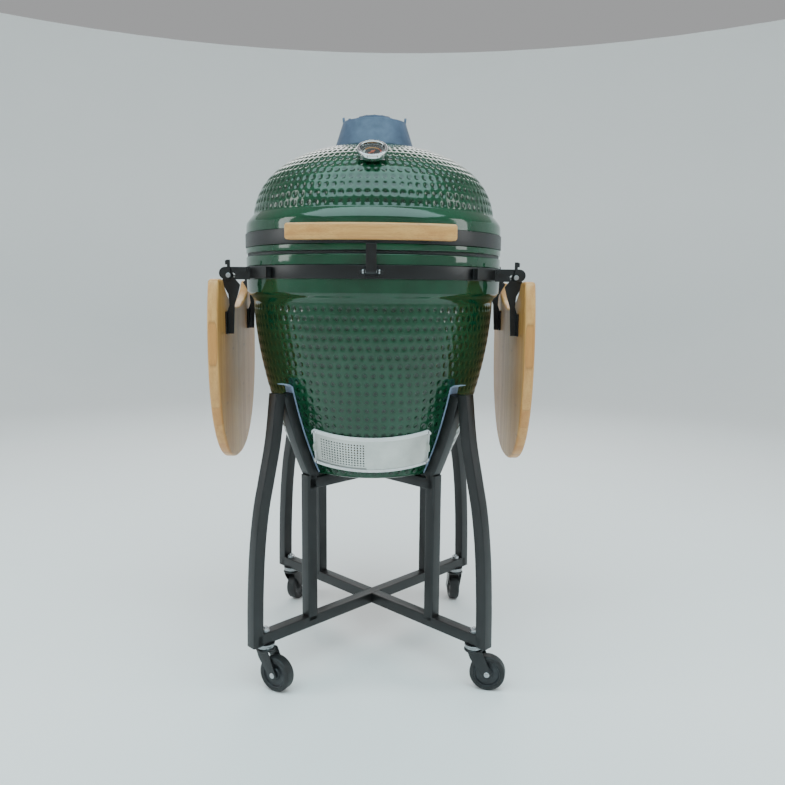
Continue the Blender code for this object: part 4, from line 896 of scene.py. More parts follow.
# %% The perforated screen
# Round holes keep sparks in. Each hole sits in its own square of sheet metal.
HOLES_ACROSS, HOLE_ROWS = 16, 9
HOLE_R = 0.0019
FIELD = (-30.2, -3.4, -0.0318, 0.0258)     # its ends in degrees, its foot and its top


def perforated(name, across, rows, layer):
    field_start, field_end, field_low, field_high = FIELD
    cell_a, cell_u = (field_end - field_start) / across, (field_high - field_low) / rows
    angles = [-PANEL_END, *[field_start + cell_a * i for i in range(across + 1)], PANEL_SEAM - SEAM_GAP]
    ups = [-PANEL_HALF_H, *[field_low + cell_u * i for i in range(rows + 1)], PANEL_HALF_H]
    shape = bmesh.new()
    for i, (a0, a1) in enumerate(zip(angles, angles[1:])):
        for j, (u0, u1) in enumerate(zip(ups, ups[1:])):
            am, um = (a0 + a1) / 2, (u0 + u1) / 2
            rim = [(a0, u0), (am, u0), (a1, u0), (a1, um), (a1, u1), (am, u1), (a0, u1), (a0, um)]
            outer = [shape.verts.new(on_cone(a, u, layer[0])) for a, u in rim]
            if 0 < i <= across and 0 < j <= rows:
                turns = [math.radians(-135 + 45 * k) for k in range(8)]
                inner = [shape.verts.new(on_cone(am + HOLE_R / ARC_PER_DEGREE * math.cos(t),
                                                 um + HOLE_R * math.sin(t), layer[0])) for t in turns]
                for k in range(8):
                    m = (k + 1) % 8
                    shape.faces.new((outer[k], outer[m], inner[m], inner[k]))
            else:
                shape.faces.new(outer)
    bmesh.ops.remove_doubles(shape, verts=shape.verts, dist=1e-6)
    bmesh.ops.recalc_face_normals(shape, faces=shape.faces)
    if shape.faces[0].normal.dot(cone_normal(-PANEL_END)) < 0:
        bmesh.ops.reverse_faces(shape, faces=shape.faces)
    bmesh.ops.solidify(shape, geom=shape.faces[:], thickness=layer[1] - layer[0])
    return coated(from_bmesh(name, shape), STAINLESS)


screen = perforated("draft_screen_sheet", HOLES_ACROSS, HOLE_ROWS, LAYERS["screen"])
print("holes in the screen:", HOLES_ACROSS * HOLE_ROWS)
show("draft_screen_sheet", merged("draft_screen_sheet", screen, pull_tab(-1, LAYERS["screen"])), None,
     "screen_panel", ["draft_screen"])

# %% [markdown]
# ## Bands and gaskets
# Two steel bands clamp the ceramic and carry the hinge, the handle and the latch. They are plain
# rolled strip with rounded edges. A strip of felt is glued to each rim to seal the lid.

# %% Bands and gaskets
BAND_T = 0.0025
GASKET_W = WALL - 0.006


def strip_ring(name, node, material, edge, body):
    low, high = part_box(node)
    across = high.x
    inner = across - (GASKET_W if material is GASKET_FELT else BAND_T)
    outline = rounded([(across, high.z), (across, low.z), (inner, low.z), (inner, high.z)], edge, 3)
    return show(name, turned(name, outline, 256), material, body, [node])


strip_ring("lid_clamp_band", "lid_band", POWDER_COAT, 0.0008, "lid")
strip_ring("base_clamp_band", "base_band", POWDER_COAT, 0.0008, "base")
strip_ring("lid_felt_seal", "lid_gasket", GASKET_FELT, 0.0012, "lid")
strip_ring("base_felt_seal", "base_gasket", GASKET_FELT, 0.0012, "base")

# %% [markdown]
# ## Bamboo handle and shelves
# The handle is a thick slat with a gentle bow and well-rounded edges. Each shelf is one 22 mm
# board: its long edge is a superellipse, and a shallow notch lets it clear the egg when it is up.

# %% Planes to draw on
def side_plane(x):
    """Square to X: its own X is the world's Y and its own Y is the world's Z."""
    return Matrix(((0, 0, 1, x), (1, 0, 0, 0), (0, 1, 0, 0), (0, 0, 0, 1)))


def front_plane(y):
    """Square to Y: its own X is the world's X and its own Y is the world's Z."""
    return Matrix(((1, 0, 0, 0), (0, 0, -1, y), (0, 1, 0, 0), (0, 0, 0, 1)))


# %% Handle
handle_low, handle_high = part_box("lid_handle")
handle_half = handle_high.x
HANDLE_T, HANDLE_BOW = 0.023, 0.030
BOARD_EDGE = 0.0055
bow_r = (handle_half ** 2 + HANDLE_BOW ** 2) / (2 * HANDLE_BOW)
bow_turn = math.degrees(math.asin(handle_half / bow_r))
bow_centre = (0.0, handle_low.y + bow_r)
outer = circle(bow_r, bow_centre, 41, -90 - bow_turn, -90 + bow_turn)
inner = circle(bow_r - HANDLE_T, bow_centre, 41, -90 + bow_turn, -90 - bow_turn)
handle_outline = rounded(outer + inner, 0.005, 4)
lift = Matrix.Translation((0, 0, (handle_low.z + handle_high.z) / 2))
handle = pressed("bamboo_handle", [handle_outline], handle_high.z - handle_low.z, BOARD_EDGE, lift, 5)
show("bamboo_handle", handle, BAMBOO_HANDLE, "lid", ["lid_handle"])
print("handle length, mm:", round(handle_half * 2000))


# %% Shelves
SHELF_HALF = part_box("shelf_right")[1].y
SHELF_TOP, SHELF_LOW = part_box("shelf_right")[1].z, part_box("shelf_right")[0].z
SHELF_CENTRE_Z, SHELF_POWER = SHELF_TOP - 0.130, 2.3
SHELF_DROP = SHELF_CENTRE_Z - SHELF_LOW
NOTCH_DEPTH, NOTCH_HALF = 0.060, 0.145


def shelf_half_width(z):
    share = abs(z - SHELF_CENTRE_Z) / SHELF_DROP
    return SHELF_HALF * (1 - share ** SHELF_POWER) ** (1 / SHELF_POWER)


def shelf_outline():
    corner = 0.014
    sagitta = NOTCH_DEPTH - 0.010
    notch_r = (NOTCH_HALF ** 2 + sagitta ** 2) / (2 * sagitta)
    turn = math.degrees(math.asin(NOTCH_HALF / notch_r))
    notch = circle(notch_r, (0.0, SHELF_TOP - NOTCH_DEPTH + notch_r), 31, -90 - turn, -90 + turn)
    side_top = SHELF_TOP - corner
    side = [(shelf_half_width(z), z) for z in between(side_top, SHELF_CENTRE_Z, 10)]
    power = 2 / SHELF_POWER
    turns = [math.radians(90 * i / 44) for i in range(1, 44)]
    side += [(SHELF_HALF * math.cos(t) ** power, SHELF_CENTRE_Z - SHELF_DROP * math.sin(t) ** power)
             for t in turns]
    horn_y = shelf_half_width(side_top) - corner
    horn = smooth([(NOTCH_HALF + 0.006, SHELF_TOP - 0.002), (NOTCH_HALF + 0.014, SHELF_TOP),
                   (horn_y, SHELF_TOP), (horn_y + corner * 0.7, SHELF_TOP - corner * 0.3), side[0]], 4)[:-1]
    right = horn + side
    return notch + right + [(0.0, SHELF_LOW)] + [(-y, z) for y, z in reversed(right)]


for side in ("left", "right"):
    low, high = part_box(f"shelf_{side}")
    board = pressed(f"bamboo_shelf_{side}", [shelf_outline()], high.x - low.x, BOARD_EDGE,
                    side_plane((low.x + high.x) / 2), 5)
    show(f"bamboo_shelf_{side}", board, BAMBOO_SHELF, f"side_shelf_{side}", [f"shelf_{side}"])
    print("shelf", side, "faces:", len(board.polygons))

# %% [markdown]
# ## The cast iron top vent
# A tapered cap sits on the chimney. A round disc swings aside on its left ear, and a smaller
# wheel turns on the disc to open or shut its four holes. Castings have generous rounds, so every
# corner of the outline is softened.

# %% Cap
cap_low, cap_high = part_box("vent_cap_body")
disc_low, disc_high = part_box("vent_cap_disc")
wheel_low, wheel_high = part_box("daisy_wheel")
CAP_FOOT_R = cap_high.y
CAP_TOP_R = 0.070
CAP_TOP_Z = disc_low.z - 0.0003
CAP_H = 0.056
CAP_FOOT_Z = CAP_TOP_Z - CAP_H
PIVOT_X = -0.0545
EAR_T = 0.005
EAR_LEAN = 0.10
under = 0.0012
spigot = CHIMNEY_R - 0.003
cap_outline = [(0.040, CAP_TOP_Z), (CAP_TOP_R, CAP_TOP_Z), (CAP_TOP_R + 0.0008, CAP_TOP_Z - 0.004),
               (CAP_FOOT_R - 0.0020, CAP_FOOT_Z + 0.008), (CAP_FOOT_R, CAP_FOOT_Z + 0.0022),
               (CAP_FOOT_R, CAP_FOOT_Z), (CAP_FOOT_R - 0.004, dome_height(CAP_FOOT_R - 0.004) + under),
               (CHIMNEY_R + 0.001, dome_height(CHIMNEY_R + 0.001) + under),
               (spigot, dome_height(CHIMNEY_R) + under), (spigot, cap_low.z), (spigot - 0.004, cap_low.z),
               (spigot - 0.004, CAP_FOOT_Z + 0.012), (CAP_TOP_R - 0.009, CAP_TOP_Z - 0.006),
               (0.040, CAP_TOP_Z - 0.005)]
cap_parts = [turned("cap", rounded(cap_outline, 0.0014, 3), 128)]
ear_x = CAP_TOP_R - 0.0055
for side in (-1, 1):
    ear = rounded([(-0.0085, -0.006), (-0.0050, 0.0095), (-0.003, 0.0128), (0.003, 0.0128), (0.0050, 0.0095),
                   (0.0085, -0.006)], 0.002, 3)
    lean = Matrix.Rotation(side * EAR_LEAN, 4, "Y")
    ear_at = Matrix.Translation((side * (ear_x + 0.0026), 0, CAP_TOP_Z)) @ lean
    cap_parts.append(pressed("ear", [ear], EAR_T, 0.0010, ear_at @ side_plane(0.0)))
pivot = turned("pivot", [(0.0, CAP_TOP_Z + 0.0112), (0.003, CAP_TOP_Z + 0.0108), (0.0038, CAP_TOP_Z + 0.0094),
                         (0.0028, CAP_TOP_Z + 0.0076), (0.0028, CAP_TOP_Z - 0.003), (0.0, CAP_TOP_Z - 0.003)],
               24, closed=False)
cap_parts.append(moved(pivot, Matrix.Translation((PIVOT_X, 0, 0))))
show("vent_cap_casting", merged("vent_cap_casting", *cap_parts), VENT_IRON, "lid", ["vent_cap_body"])
print("cap height, mm:", round(CAP_H * 1000))


# %% Disc and wheel
BOLT_HOLE_R = 0.0036
VENT_HOLE_R, VENT_HOLE_REACH = 0.009, 0.022


def vent_holes():
    """The bolt's hole and four vent holes round it."""
    loops = [circle(BOLT_HOLE_R, count=20)]
    for quarter in range(4):
        angle = math.radians(45 + 90 * quarter)
        middle = (VENT_HOLE_REACH * math.cos(angle), VENT_HOLE_REACH * math.sin(angle))
        loops.append(circle(VENT_HOLE_R, middle, 28))
    return loops


def scalloped(radius, depth, lobes, per):
    points = []
    for i in range(lobes * per):
        turn = math.tau * i / (lobes * per)
        reach = radius - depth * (1 - math.cos(lobes * turn)) / 2
        points.append((reach * math.cos(turn), reach * math.sin(turn)))
    return points


DISC_R = 0.047
rim = [p for p in circle(DISC_R, count=72, start=-168, end=168) if p[0] < DISC_R * 0.98]
tongue = circle(0.0058, (PIVOT_X, 0), 13, 90, 270)
tab = [(DISC_R * 0.985, -0.006), (DISC_R + 0.009, -0.004), (DISC_R + 0.009, 0.004), (DISC_R * 0.985, 0.006)]
disc_outline = [p for p in rim if p[1] < 0] + tab + [p for p in rim if p[1] > 0] + tongue
disc_t = disc_high.z - disc_low.z
disc_loops = [rounded(disc_outline, 0.0015, 2), circle(0.0032, (PIVOT_X, 0), 20), *vent_holes()]
disc = pressed("disc", disc_loops, disc_t, 0.001, Matrix.Translation((0, 0, (disc_low.z + disc_high.z) / 2)))
show("vent_swing_disc", disc, VENT_IRON, "vent_disc", ["vent_cap_disc"])
LOBES = 12
BUMP_REACH = 0.0328
wheel_t = wheel_high.z - wheel_low.z
wheel = pressed("wheel", [scalloped(0.038, 0.0015, LOBES, 10), *vent_holes()], wheel_t * 0.72, 0.0009,
                Matrix.Translation((0, 0, wheel_low.z + wheel_t * 0.36)))
wheel_parts = [wheel]
bump_foot = wheel_low.z + wheel_t * 0.5
bump_line = [(0.0, wheel_high.z - 0.0002), (0.0020, wheel_high.z - 0.0006), (0.0032, wheel_high.z - 0.0018),
             (0.0036, bump_foot), (0.0, bump_foot)]
for lobe in range(LOBES):
    angle = math.tau * lobe / LOBES
    at = Matrix.Translation((BUMP_REACH * math.cos(angle), BUMP_REACH * math.sin(angle), 0))
    wheel_parts.append(moved(turned("bump", bump_line, 16, closed=False), at))
show("vent_daisy_wheel", merged("vent_daisy_wheel", *wheel_parts), VENT_IRON, "vent_wheel", ["daisy_wheel"])


# %% [markdown]
# ## Fasteners
# Most brackets are held by small hex bolts or domed screws. Each is a turned or pressed head with
# chamfered corners, set square to the face that it clamps.

# %% Bolt heads and nuts
def hex_head(name, across, height, hole=0.0):
    """A hexagon with its corners chamfered, on its own XY plane."""
    radius = across / 2 / math.cos(math.radians(30))
    loops = [circle(radius, count=6)] + ([circle(hole, count=24)] if hole else [])
    return pressed(name, loops, height, min(0.0009, height * 0.2), Matrix.Translation((0, 0, height / 2)), 1)


def dome_head(name, radius, height):
    return turned(name, [(0.0, height), (radius * 0.45, height * 0.95), (radius * 0.8, height * 0.65),
                         (radius, height * 0.15), (radius, -0.0004), (0.0, -0.0004)], 24, closed=False)


bolt_low, bolt_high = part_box("daisy_bolt")
shank_line = [(0.0, bolt_high.z - 0.004), (0.003, bolt_high.z - 0.004), (0.003, bolt_low.z + 0.0005),
              (0.0025, bolt_low.z), (0.0, bolt_low.z)]
shank = turned("shank", shank_line, 24, closed=False)
top = moved(hex_head("top", 0.0105, 0.005), Matrix.Translation((0, 0, bolt_high.z - 0.005)))
show("vent_centre_bolt", merged("vent_centre_bolt", shank, top), ZINC, "vent_disc", ["daisy_bolt"])

# %% [markdown]
# ## The thermometer
# A bimetal dial in a chrome case looks out from the front of the lid. The face carries ticks and
# coloured arcs for the low, cooking and searing ranges, under a glass with a bright bezel.

# %% Case, glass and dial
needle_joint = next(j for j in frame["joints"] if j["name"] == "needle_turn")
THERMO_AT = Vector(needle_joint["pos_m"])
THERMO_OUT = -Vector(needle_joint["axis"])
THERMO = Matrix.Translation(THERMO_AT) @ Matrix.Rotation(math.atan2(-THERMO_OUT.y, THERMO_OUT.z), 4, "X")
THERMO_R = 0.030
cup, seat, floor_z = THERMO_R - 0.0038, 0.0178, 0.0085
case_outline = rounded([(cup - 0.0017, seat + 0.0027), (THERMO_R - 0.0006, seat + 0.0027), (THERMO_R, seat),
                        (THERMO_R, 0.012), (THERMO_R - 0.0015, 0.006), (0.012, 0.0036), (0.004, 0.0036),
                        (0.004, -0.055), (0.0005, -0.055), (0.0005, floor_z), (cup, floor_z), (cup, seat),
                        (cup - 0.0017, seat)], 0.0010, 4)
show("thermometer_bezel", turned("thermometer_bezel", case_outline, 96), CHROME, "lid", ["thermometer_case"],
     THERMO)
dial_r = cup - 0.0003
dial_line = [(0.0, 0.0096), (dial_r, 0.0096), (dial_r, 0.0088), (0.0, 0.0088)]
dial_parts = [coated(turned("dial", dial_line, 72, closed=False), DIAL_BLACK)]
PRINT_Z = 0.0097
ARC_INNER, ARC_OUTER = 0.0150, 0.0180
TICKS, TICK_END = 28, 0.0232


def arc_band(start, end, material):
    """A printed arc of the dial between two angles."""
    loop = circle(ARC_OUTER, count=25, start=start, end=end)
    loop += circle(ARC_INNER, count=25, start=end, end=start)
    return coated(pressed("arc", [loop], 0.0002, 0.0, Matrix.Translation((0, 0, PRINT_Z))), material)


for start, end, ink in ((150, 225, PRINT_WHITE), (40, 145, PRINT_ORANGE), (-45, 35, PRINT_RED)):
    dial_parts.append(arc_band(start, end, ink))
for i in range(TICKS):
    angle = math.radians(225 - 10 * i)
    length = 0.0034 if i % 3 == 0 else 0.0018
    tick_start = TICK_END - length
    tick = [(tick_start, -0.0003), (TICK_END, -0.0003), (TICK_END, 0.0003), (tick_start, 0.0003)]
    turn = Matrix.Rotation(angle, 4, "Z") @ Matrix.Translation((0, 0, PRINT_Z))
    dial_parts.append(coated(pressed("tick", [tick], 0.0002, 0.0, turn), PRINT_WHITE))
show("thermometer_face", merged("thermometer_face", *dial_parts), None, "lid", ["thermometer_dial"],
     THERMO)
lens_line = [(0.0, seat - 0.0003), (dial_r * 0.7, seat - 0.0004), (dial_r, seat - 0.0009), (dial_r, 0.0155),
             (0.0, 0.0158)]
lens = turned("lens", lens_line, 72, closed=False)
show("thermometer_lens", lens, LENS, "lid", ["thermometer_glass"], THERMO)

# %% Needle
pointer = [(-0.0012, -0.007), (0.0012, -0.007), (0.0016, -0.0030), *circle(0.0033, (0, 0), 15, -55, 55),
           (0.0012, 0.0035), (0.0003, 0.0200), (-0.0003, 0.0200), (-0.0012, 0.0035),
           *circle(0.0033, (0, 0), 15, 125, 235), (-0.0016, -0.0030)]
pointer_place = THERMO @ Matrix.Translation((0, 0, 0.0112)) @ Matrix.Rotation(math.radians(135.0), 4, "Z")
pin_cap = dome_head("cap", 0.0016, 0.0009)
needle_mesh = merged("thermometer_pointer", pressed("pointer", [pointer], 0.0009, 0.0002), pin_cap)
show("thermometer_pointer", needle_mesh, NEEDLE_PAINT, "needle", ["thermometer_needle"],
     pointer_place)
print("dial ticks:", TICKS)


# %% [markdown]
# ## Brackets
# The pressed steel brackets already have the right shape in the frame. A maker would break every
# edge before coating, so each bracket is copied and its sharp edges are rounded by 0.6 mm. That
# thin line of light along an edge is what makes a painted part look real.

# %% Rounding the brackets' edges
def soft_copy(node, material, body, edge=0.0006):
    """A copy of a frame node with its sharp edges rounded."""
    source = frame["nodes"][node].data
    shape = bmesh.new()
    shape.from_mesh(source)
    bmesh.ops.remove_doubles(shape, verts=shape.verts, dist=1e-6)
    bmesh.ops.dissolve_limit(shape, angle_limit=math.radians(1), verts=shape.verts, edges=shape.edges)
    mesh = bpy.data.meshes.new(node + "_coated")
    shape.to_mesh(mesh)
    shape.free()
    made = show(node + "_coated", mesh, material, body, [node])
    bevel = made.modifiers.new("soft_edges", "BEVEL")
    bevel.width = edge
    bevel.segments = 2
    bevel.limit_method = "ANGLE"
    bevel.angle_limit = math.radians(40)
    return made


BRACKETS = {"handle_bracket_left": "lid", "handle_bracket_right": "lid", "lid_hinge_bracket": "lid",
            "base_hinge_bracket": "base", "latch_bracket": "base", "latch_arm": "latch"}
for side in ("left", "right"):
    for place in ("front", "rear"):
        BRACKETS[f"shelf_arm_{side}_{place}"] = f"side_shelf_{side}"
        BRACKETS[f"shelf_bracket_{side}_{place}"] = "base"
for node, body in BRACKETS.items():
    soft_copy(node, POWDER_COAT, body)
for node, body in {"hinge_pin": "base", "latch_pin": "base", "shelf_rod_left": "carriage_left",
                   "shelf_rod_right": "carriage_right"}.items():
    soft_copy(node, ZINC, body, 0.0004)
print("brackets:", len(BRACKETS))

# %% Screws that hold the brackets
BAND_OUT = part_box("base_band")[1].x
BRACKET_T = 0.0036


def band_screw(name, angle, z, radius, body):
    """A domed screw on a bracket over a band, at an angle round the egg."""
    turn = math.radians(angle)
    flat = Vector((math.cos(turn), math.sin(turn), 0.0))
    point = flat * (BAND_OUT + BRACKET_T) + Vector((0, 0, z))
    head = dome_head(name, radius, 0.0028)
    return show(name, head, POWDER_COAT, body, None, facing(point, flat))


band_mid = (BASE_BAND_LOW + BASE_BAND_TOP) / 2
lid_band_mid = (LID_BAND_LOW + LID_BAND_TOP) / 2
for i, x in enumerate((-0.0195, 0.0195)):
    band_screw(f"latch_screw_{i}", FRONT + math.degrees(x / BAND_OUT), band_mid - 0.001, 0.0036, "base")
for i, x in enumerate((-0.045, 0.0, 0.045)):
    turn = 90 + math.degrees(x / BAND_OUT)
    band_screw(f"rear_base_screw_{i}", turn, band_mid, 0.0042, "base")
    band_screw(f"rear_lid_screw_{i}", turn, lid_band_mid, 0.0042, "lid")

# %% [markdown]
# ## Rear hinge springs
# Two torsion springs on the hinge pin carry most of the lid's weight. Each is round wire wound
# tight, so it is a circle swept along a helix.

# %% Springs
WIRE_R = 0.0021
WIRE_SIDES = 10
STEPS_PER_TURN = 24
COIL_SLACK = 1.04


def coil(name, start_x, end_x, centre, radius, turns):
    """Round wire wound along X about a centre of (y, z)."""
    shape = bmesh.new()
    rings = []
    steps = int(turns * STEPS_PER_TURN)
    around = [math.tau * k / WIRE_SIDES for k in range(WIRE_SIDES)]
    for i in range(steps + 1):
        t = i / steps
        angle = math.tau * turns * t
        out = Vector((0, math.cos(angle), math.sin(angle)))
        middle = Vector((start_x + (end_x - start_x) * t, centre[0], centre[1])) + out * radius
        ring = [middle + out * WIRE_R * math.cos(a) + Vector((WIRE_R * math.sin(a), 0, 0)) for a in around]
        rings.append([shape.verts.new(point) for point in ring])
    for first, second in zip(rings, rings[1:]):
        for j in range(WIRE_SIDES):
            k = (j + 1) % WIRE_SIDES
            shape.faces.new((first[j], first[k], second[k], second[j]))
    shape.faces.new(rings[0])
    shape.faces.new(rings[-1])
    return from_bmesh(name, shape)


hinge = next(j["pos_m"] for j in frame["joints"] if j["name"] == "lid_hinge")
for side in ("left", "right"):
    low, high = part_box(f"hinge_spring_{side}")
    count = (high.x - low.x - 2 * WIRE_R) / (2 * WIRE_R * COIL_SLACK)
    spring = coil(f"torsion_spring_{side}", low.x + WIRE_R, high.x - WIRE_R, (hinge[1], hinge[2]),
                  (high.z - low.z) / 2 - WIRE_R, count)
    show(f"torsion_spring_{side}", spring, SPRING, "base", [f"hinge_spring_{side}"])
    print("spring", side, "turns:", round(count, 1))

# %% [markdown]
# ## The stand
# Four identical frames of 25 mm square tube meet under the egg in a cross. Each has a bent outer
# leg, an upright post, a bottom tube and a sloping cradle that the egg rests on. Drawn tube has
# rounded corners of about 2.5 mm, which catch a line of light.

# %% Paths of the tubes
TUBE = 0.025
LEG_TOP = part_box("leg_frame_front_left")[1].z
BOTTOM_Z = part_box("leg_frame_front_left")[0].z
CROSS_Z = EGG_BOTTOM - 0.030
FELT = 0.004
POST_L = BODY_FOOT_R + 0.021
LEG_REACH = RIM_R + 0.067
# how far in the leg leans, at each share of its height
LEG_BEND = ((0.0, 0.153), (-0.002, 0.31), (-0.008, 0.467), (-0.019, 0.60), (-0.034, 0.704), (-0.052, 0.830),
            (-0.064, 0.975))
CORNERS = {"front_left": -135, "front_right": -45, "rear_right": 45, "rear_left": 135}
THROUGH = ("front_left", "rear_right")


def leg_path():
    """The middle of the bent leg, as (distance from the egg's axis, height)."""
    outer = [(LEG_REACH + lean, share * LEG_TOP) for lean, share in LEG_BEND]
    outer[0] = (LEG_REACH, BOTTOM_Z)
    outer = smooth(outer, 5)
    moved_in = []
    for i, (l, z) in enumerate(outer):
        before, after = outer[max(i - 1, 0)], outer[min(i + 1, len(outer) - 1)]
        run = Vector((after[0] - before[0], after[1] - before[1])).normalized()
        moved_in.append((l - run.y * TUBE / 2, z + run.x * TUBE / 2))
    return moved_in


def cradle_path(offset, low, high, count=16):
    return [body_offset(z, offset) for z in between(low, high, count)]


def tube_section(width, height, corner=0.0025):
    half_w, half_h = width / 2, height / 2
    return rounded([(-half_w, -half_h), (half_w, -half_h), (half_w, half_h), (-half_w, half_h)], corner, 3)


def in_plane(points, angle):
    turn = math.radians(angle)
    return [(l * math.cos(turn), l * math.sin(turn), z) for l, z in points]


# %% Building the four frames
square = tube_section(TUBE, TUBE)
for corner, angle in CORNERS.items():
    inner_end = 0.0002 if corner in THROUGH else TUBE / 2 + 0.0003
    half = TUBE / 2
    leg = leg_path()
    cradle = cradle_path(FELT + half, EGG_BOTTOM + 0.003, LEG_TOP - 0.017)
    bottom = [(inner_end, BOTTOM_Z + half), (LEG_REACH - 0.012, BOTTOM_Z + half)]
    cross = [(inner_end, CROSS_Z + half), (POST_L + 0.006, CROSS_Z + half)]
    post = [(POST_L, BOTTOM_Z + TUBE * 0.6), (POST_L, CROSS_Z + TUBE * 1.25)]
    parts = [swept("tube", in_plane(path, angle), square) for path in (leg, cradle, bottom, cross, post)]
    frame_mesh = merged(f"stand_frame_{corner}", *parts)
    show(f"stand_frame_{corner}", frame_mesh, POWDER_COAT, "base", [f"leg_frame_{corner}"])
    strip = cradle_path(FELT * 0.52, EGG_BOTTOM + 0.006, LEG_TOP - 0.004, 24)
    lip = [(strip[-1][0] + 0.008, LEG_TOP + 0.0005), (strip[-1][0] + 0.020, LEG_TOP + 0.0012)]
    felt_strip = swept("strip", in_plane(strip, angle), tube_section(TUBE, FELT * 0.75, 0.001))
    fold = swept("fold", in_plane([strip[-1], *lip], angle), tube_section(TUBE, 0.0014, 0.0005))
    show(f"cradle_felt_{corner}", merged(f"cradle_felt_{corner}", felt_strip, fold), CRADLE_FELT, "base")
print("stand height, mm:", round(LEG_TOP * 1000))

# %% [markdown]
# ## Casters
# Each corner rolls on a 75 mm swivel caster: a threaded stem through the bottom tube, a bearing
# race, a pressed fork and a rubber-tyred wheel on a riveted axle. One set of meshes serves all
# four, placed by the frame's own swivel and roll joints.

# %% Caster meshes
WHEEL_R, WHEEL_HALF, TRAIL = 0.0375, 0.0125, 0.030
FORK_GAP, FORK_T, AXLE_HALF = 0.0020, 0.0025, 0.0172
RACE_Z = BOTTOM_Z - 0.0003


def wheel_mesh():
    shoulder_r, tread_in = WHEEL_R - 0.0035, WHEEL_R - 0.0095
    tread = rounded([(WHEEL_R, -0.0098), (WHEEL_R, 0.0098), (shoulder_r, WHEEL_HALF), (tread_in, WHEEL_HALF),
                     (tread_in, -WHEEL_HALF), (shoulder_r, -WHEEL_HALF)], 0.0022, 3)
    hub_r = WHEEL_R - 0.0094
    half = [(hub_r, 0.0118), (hub_r - 0.002, 0.0118), (hub_r - 0.0038, 0.0072), (0.0135, 0.0064),
            (0.0120, 0.0098), (0.0052, 0.0102)]
    hub = rounded(half + [(r, -z) for r, z in reversed(half)], 0.0008, 2)
    tyre = coated(turned("tread", tread, 72), TREAD)
    return merged("caster_wheel", tyre, coated(turned("hub", hub, 72), HUB_PLASTIC))


def stem_mesh():
    top = BOTTOM_Z + TUBE
    race = rounded([(0.0199, RACE_Z), (0.0199, RACE_Z - 0.0032), (0.0188, RACE_Z - 0.0040),
                    (0.0188, RACE_Z - 0.0086), (0.0042, RACE_Z - 0.0086), (0.0042, RACE_Z)], 0.0008, 3)
    body = [(0.0, top + 0.0100), (0.0040, top + 0.0100), (0.0046, top + 0.0092)]
    for i in range(7):
        z = top + 0.0088 - i * 0.00125
        body += [(0.0046, z), (0.0041, z - 0.0006)]
    body += [(0.0048, top), (0.0048, RACE_Z - 0.001), (0.0040, RACE_Z - 0.001), (0.0040, RACE_Z - 0.0164),
             (0.0, RACE_Z - 0.0164)]
    nut = moved(hex_head("nut", 0.0160, 0.0064), Matrix.Translation((0, 0, top + 0.0004)))
    washer = turned("washer", rounded([(0.0098, top + 0.0010), (0.0098, top + 0.0001), (0.0045, top + 0.0001),
                                       (0.0045, top + 0.0010)], 0.0003, 2), 40)
    parts = [(turned("race", race, 64), RACE_RING), (turned("stem", body, 24, closed=False), ZINC),
             (nut, ZINC), (washer, ZINC)]
    return merged("caster_stem", *[coated(mesh, look) for mesh, look in parts])


def fork_mesh():
    crown_top = RACE_Z - 0.0093
    crown = rounded([(0.0190, crown_top), (0.0208, crown_top - 0.0020), (0.0208, crown_top - 0.0050),
                     (0.0050, crown_top - 0.0050), (0.0050, crown_top)], 0.0010, 3)
    leg = rounded([(-0.0125, crown_top - 0.001), (-0.0060, crown_top - 0.018),
                   *circle(0.0105, (TRAIL, WHEEL_R), 15, 195, 390), (0.0185, crown_top - 0.001)], 0.0012, 2)
    parts = [coated(turned("crown", crown, 64), CASTER_PAINT)]
    for side in (-1, 1):
        y = side * (WHEEL_HALF + FORK_GAP + FORK_T / 2)
        parts.append(coated(pressed("leg", [leg], FORK_T, 0.0006, front_plane(y)), CASTER_PAINT))
        rivet_at = (TRAIL, side * (WHEEL_HALF + FORK_GAP + FORK_T), WHEEL_R)
        rivet = moved(dome_head("rivet", 0.0058, 0.0026), facing(rivet_at, (0, side, 0)))
        parts.append(coated(rivet, ZINC))
    axle_line = [(0.0, AXLE_HALF), (0.0048, AXLE_HALF), (0.0048, -AXLE_HALF), (0.0, -AXLE_HALF)]
    axle = turned("axle", axle_line, 24, closed=False)
    parts.append(coated(moved(axle, facing((TRAIL, 0, WHEEL_R), (0, 1, 0))), ZINC))
    return merged("caster_fork", *parts)


# %% Placing the casters
shared_wheel, shared_stem, shared_fork = wheel_mesh(), stem_mesh(), fork_mesh()
joints = {j["name"]: j for j in frame["joints"]}
for corner in CORNERS:
    swivel, roll = joints[f"caster_swivel_{corner}"]["pos_m"], joints[f"caster_roll_{corner}"]["pos_m"]
    heading = math.atan2(roll[1] - swivel[1], roll[0] - swivel[0])
    stand_at = Matrix.Translation((swivel[0], swivel[1], 0)) @ Matrix.Rotation(heading, 4, "Z")
    show(f"caster_stem_and_race_{corner}", shared_stem, None, "base", [f"caster_stem_{corner}"],
         stand_at)
    show(f"caster_pressed_fork_{corner}", shared_fork, None, f"swivel_{corner}", [f"caster_fork_{corner}"],
         stand_at)
    wheel_at = stand_at @ facing((TRAIL, 0, WHEEL_R), (0, 1, 0))
    show(f"caster_tyred_wheel_{corner}", shared_wheel, None, f"roll_{corner}", [f"caster_wheel_{corner}"],
         wheel_at)
print("casters:", len(CORNERS))

# %% [markdown]
# ## Inside the egg
# The fire box, the ring on it and the grates keep the frame's own shape. They only need their
# finish: sooty fire clay and seasoned iron.

# %% Finishing the inner parts
for node in ("fire_box", "fire_ring"):
    made = frame["nodes"][node]
    made.data.materials.clear()
    made.data.materials.append(FIRE_CLAY)
for node in ("charcoal_grate", "cooking_grid"):
    soft_copy(node, GRATE_IRON, "base", 0.0008)

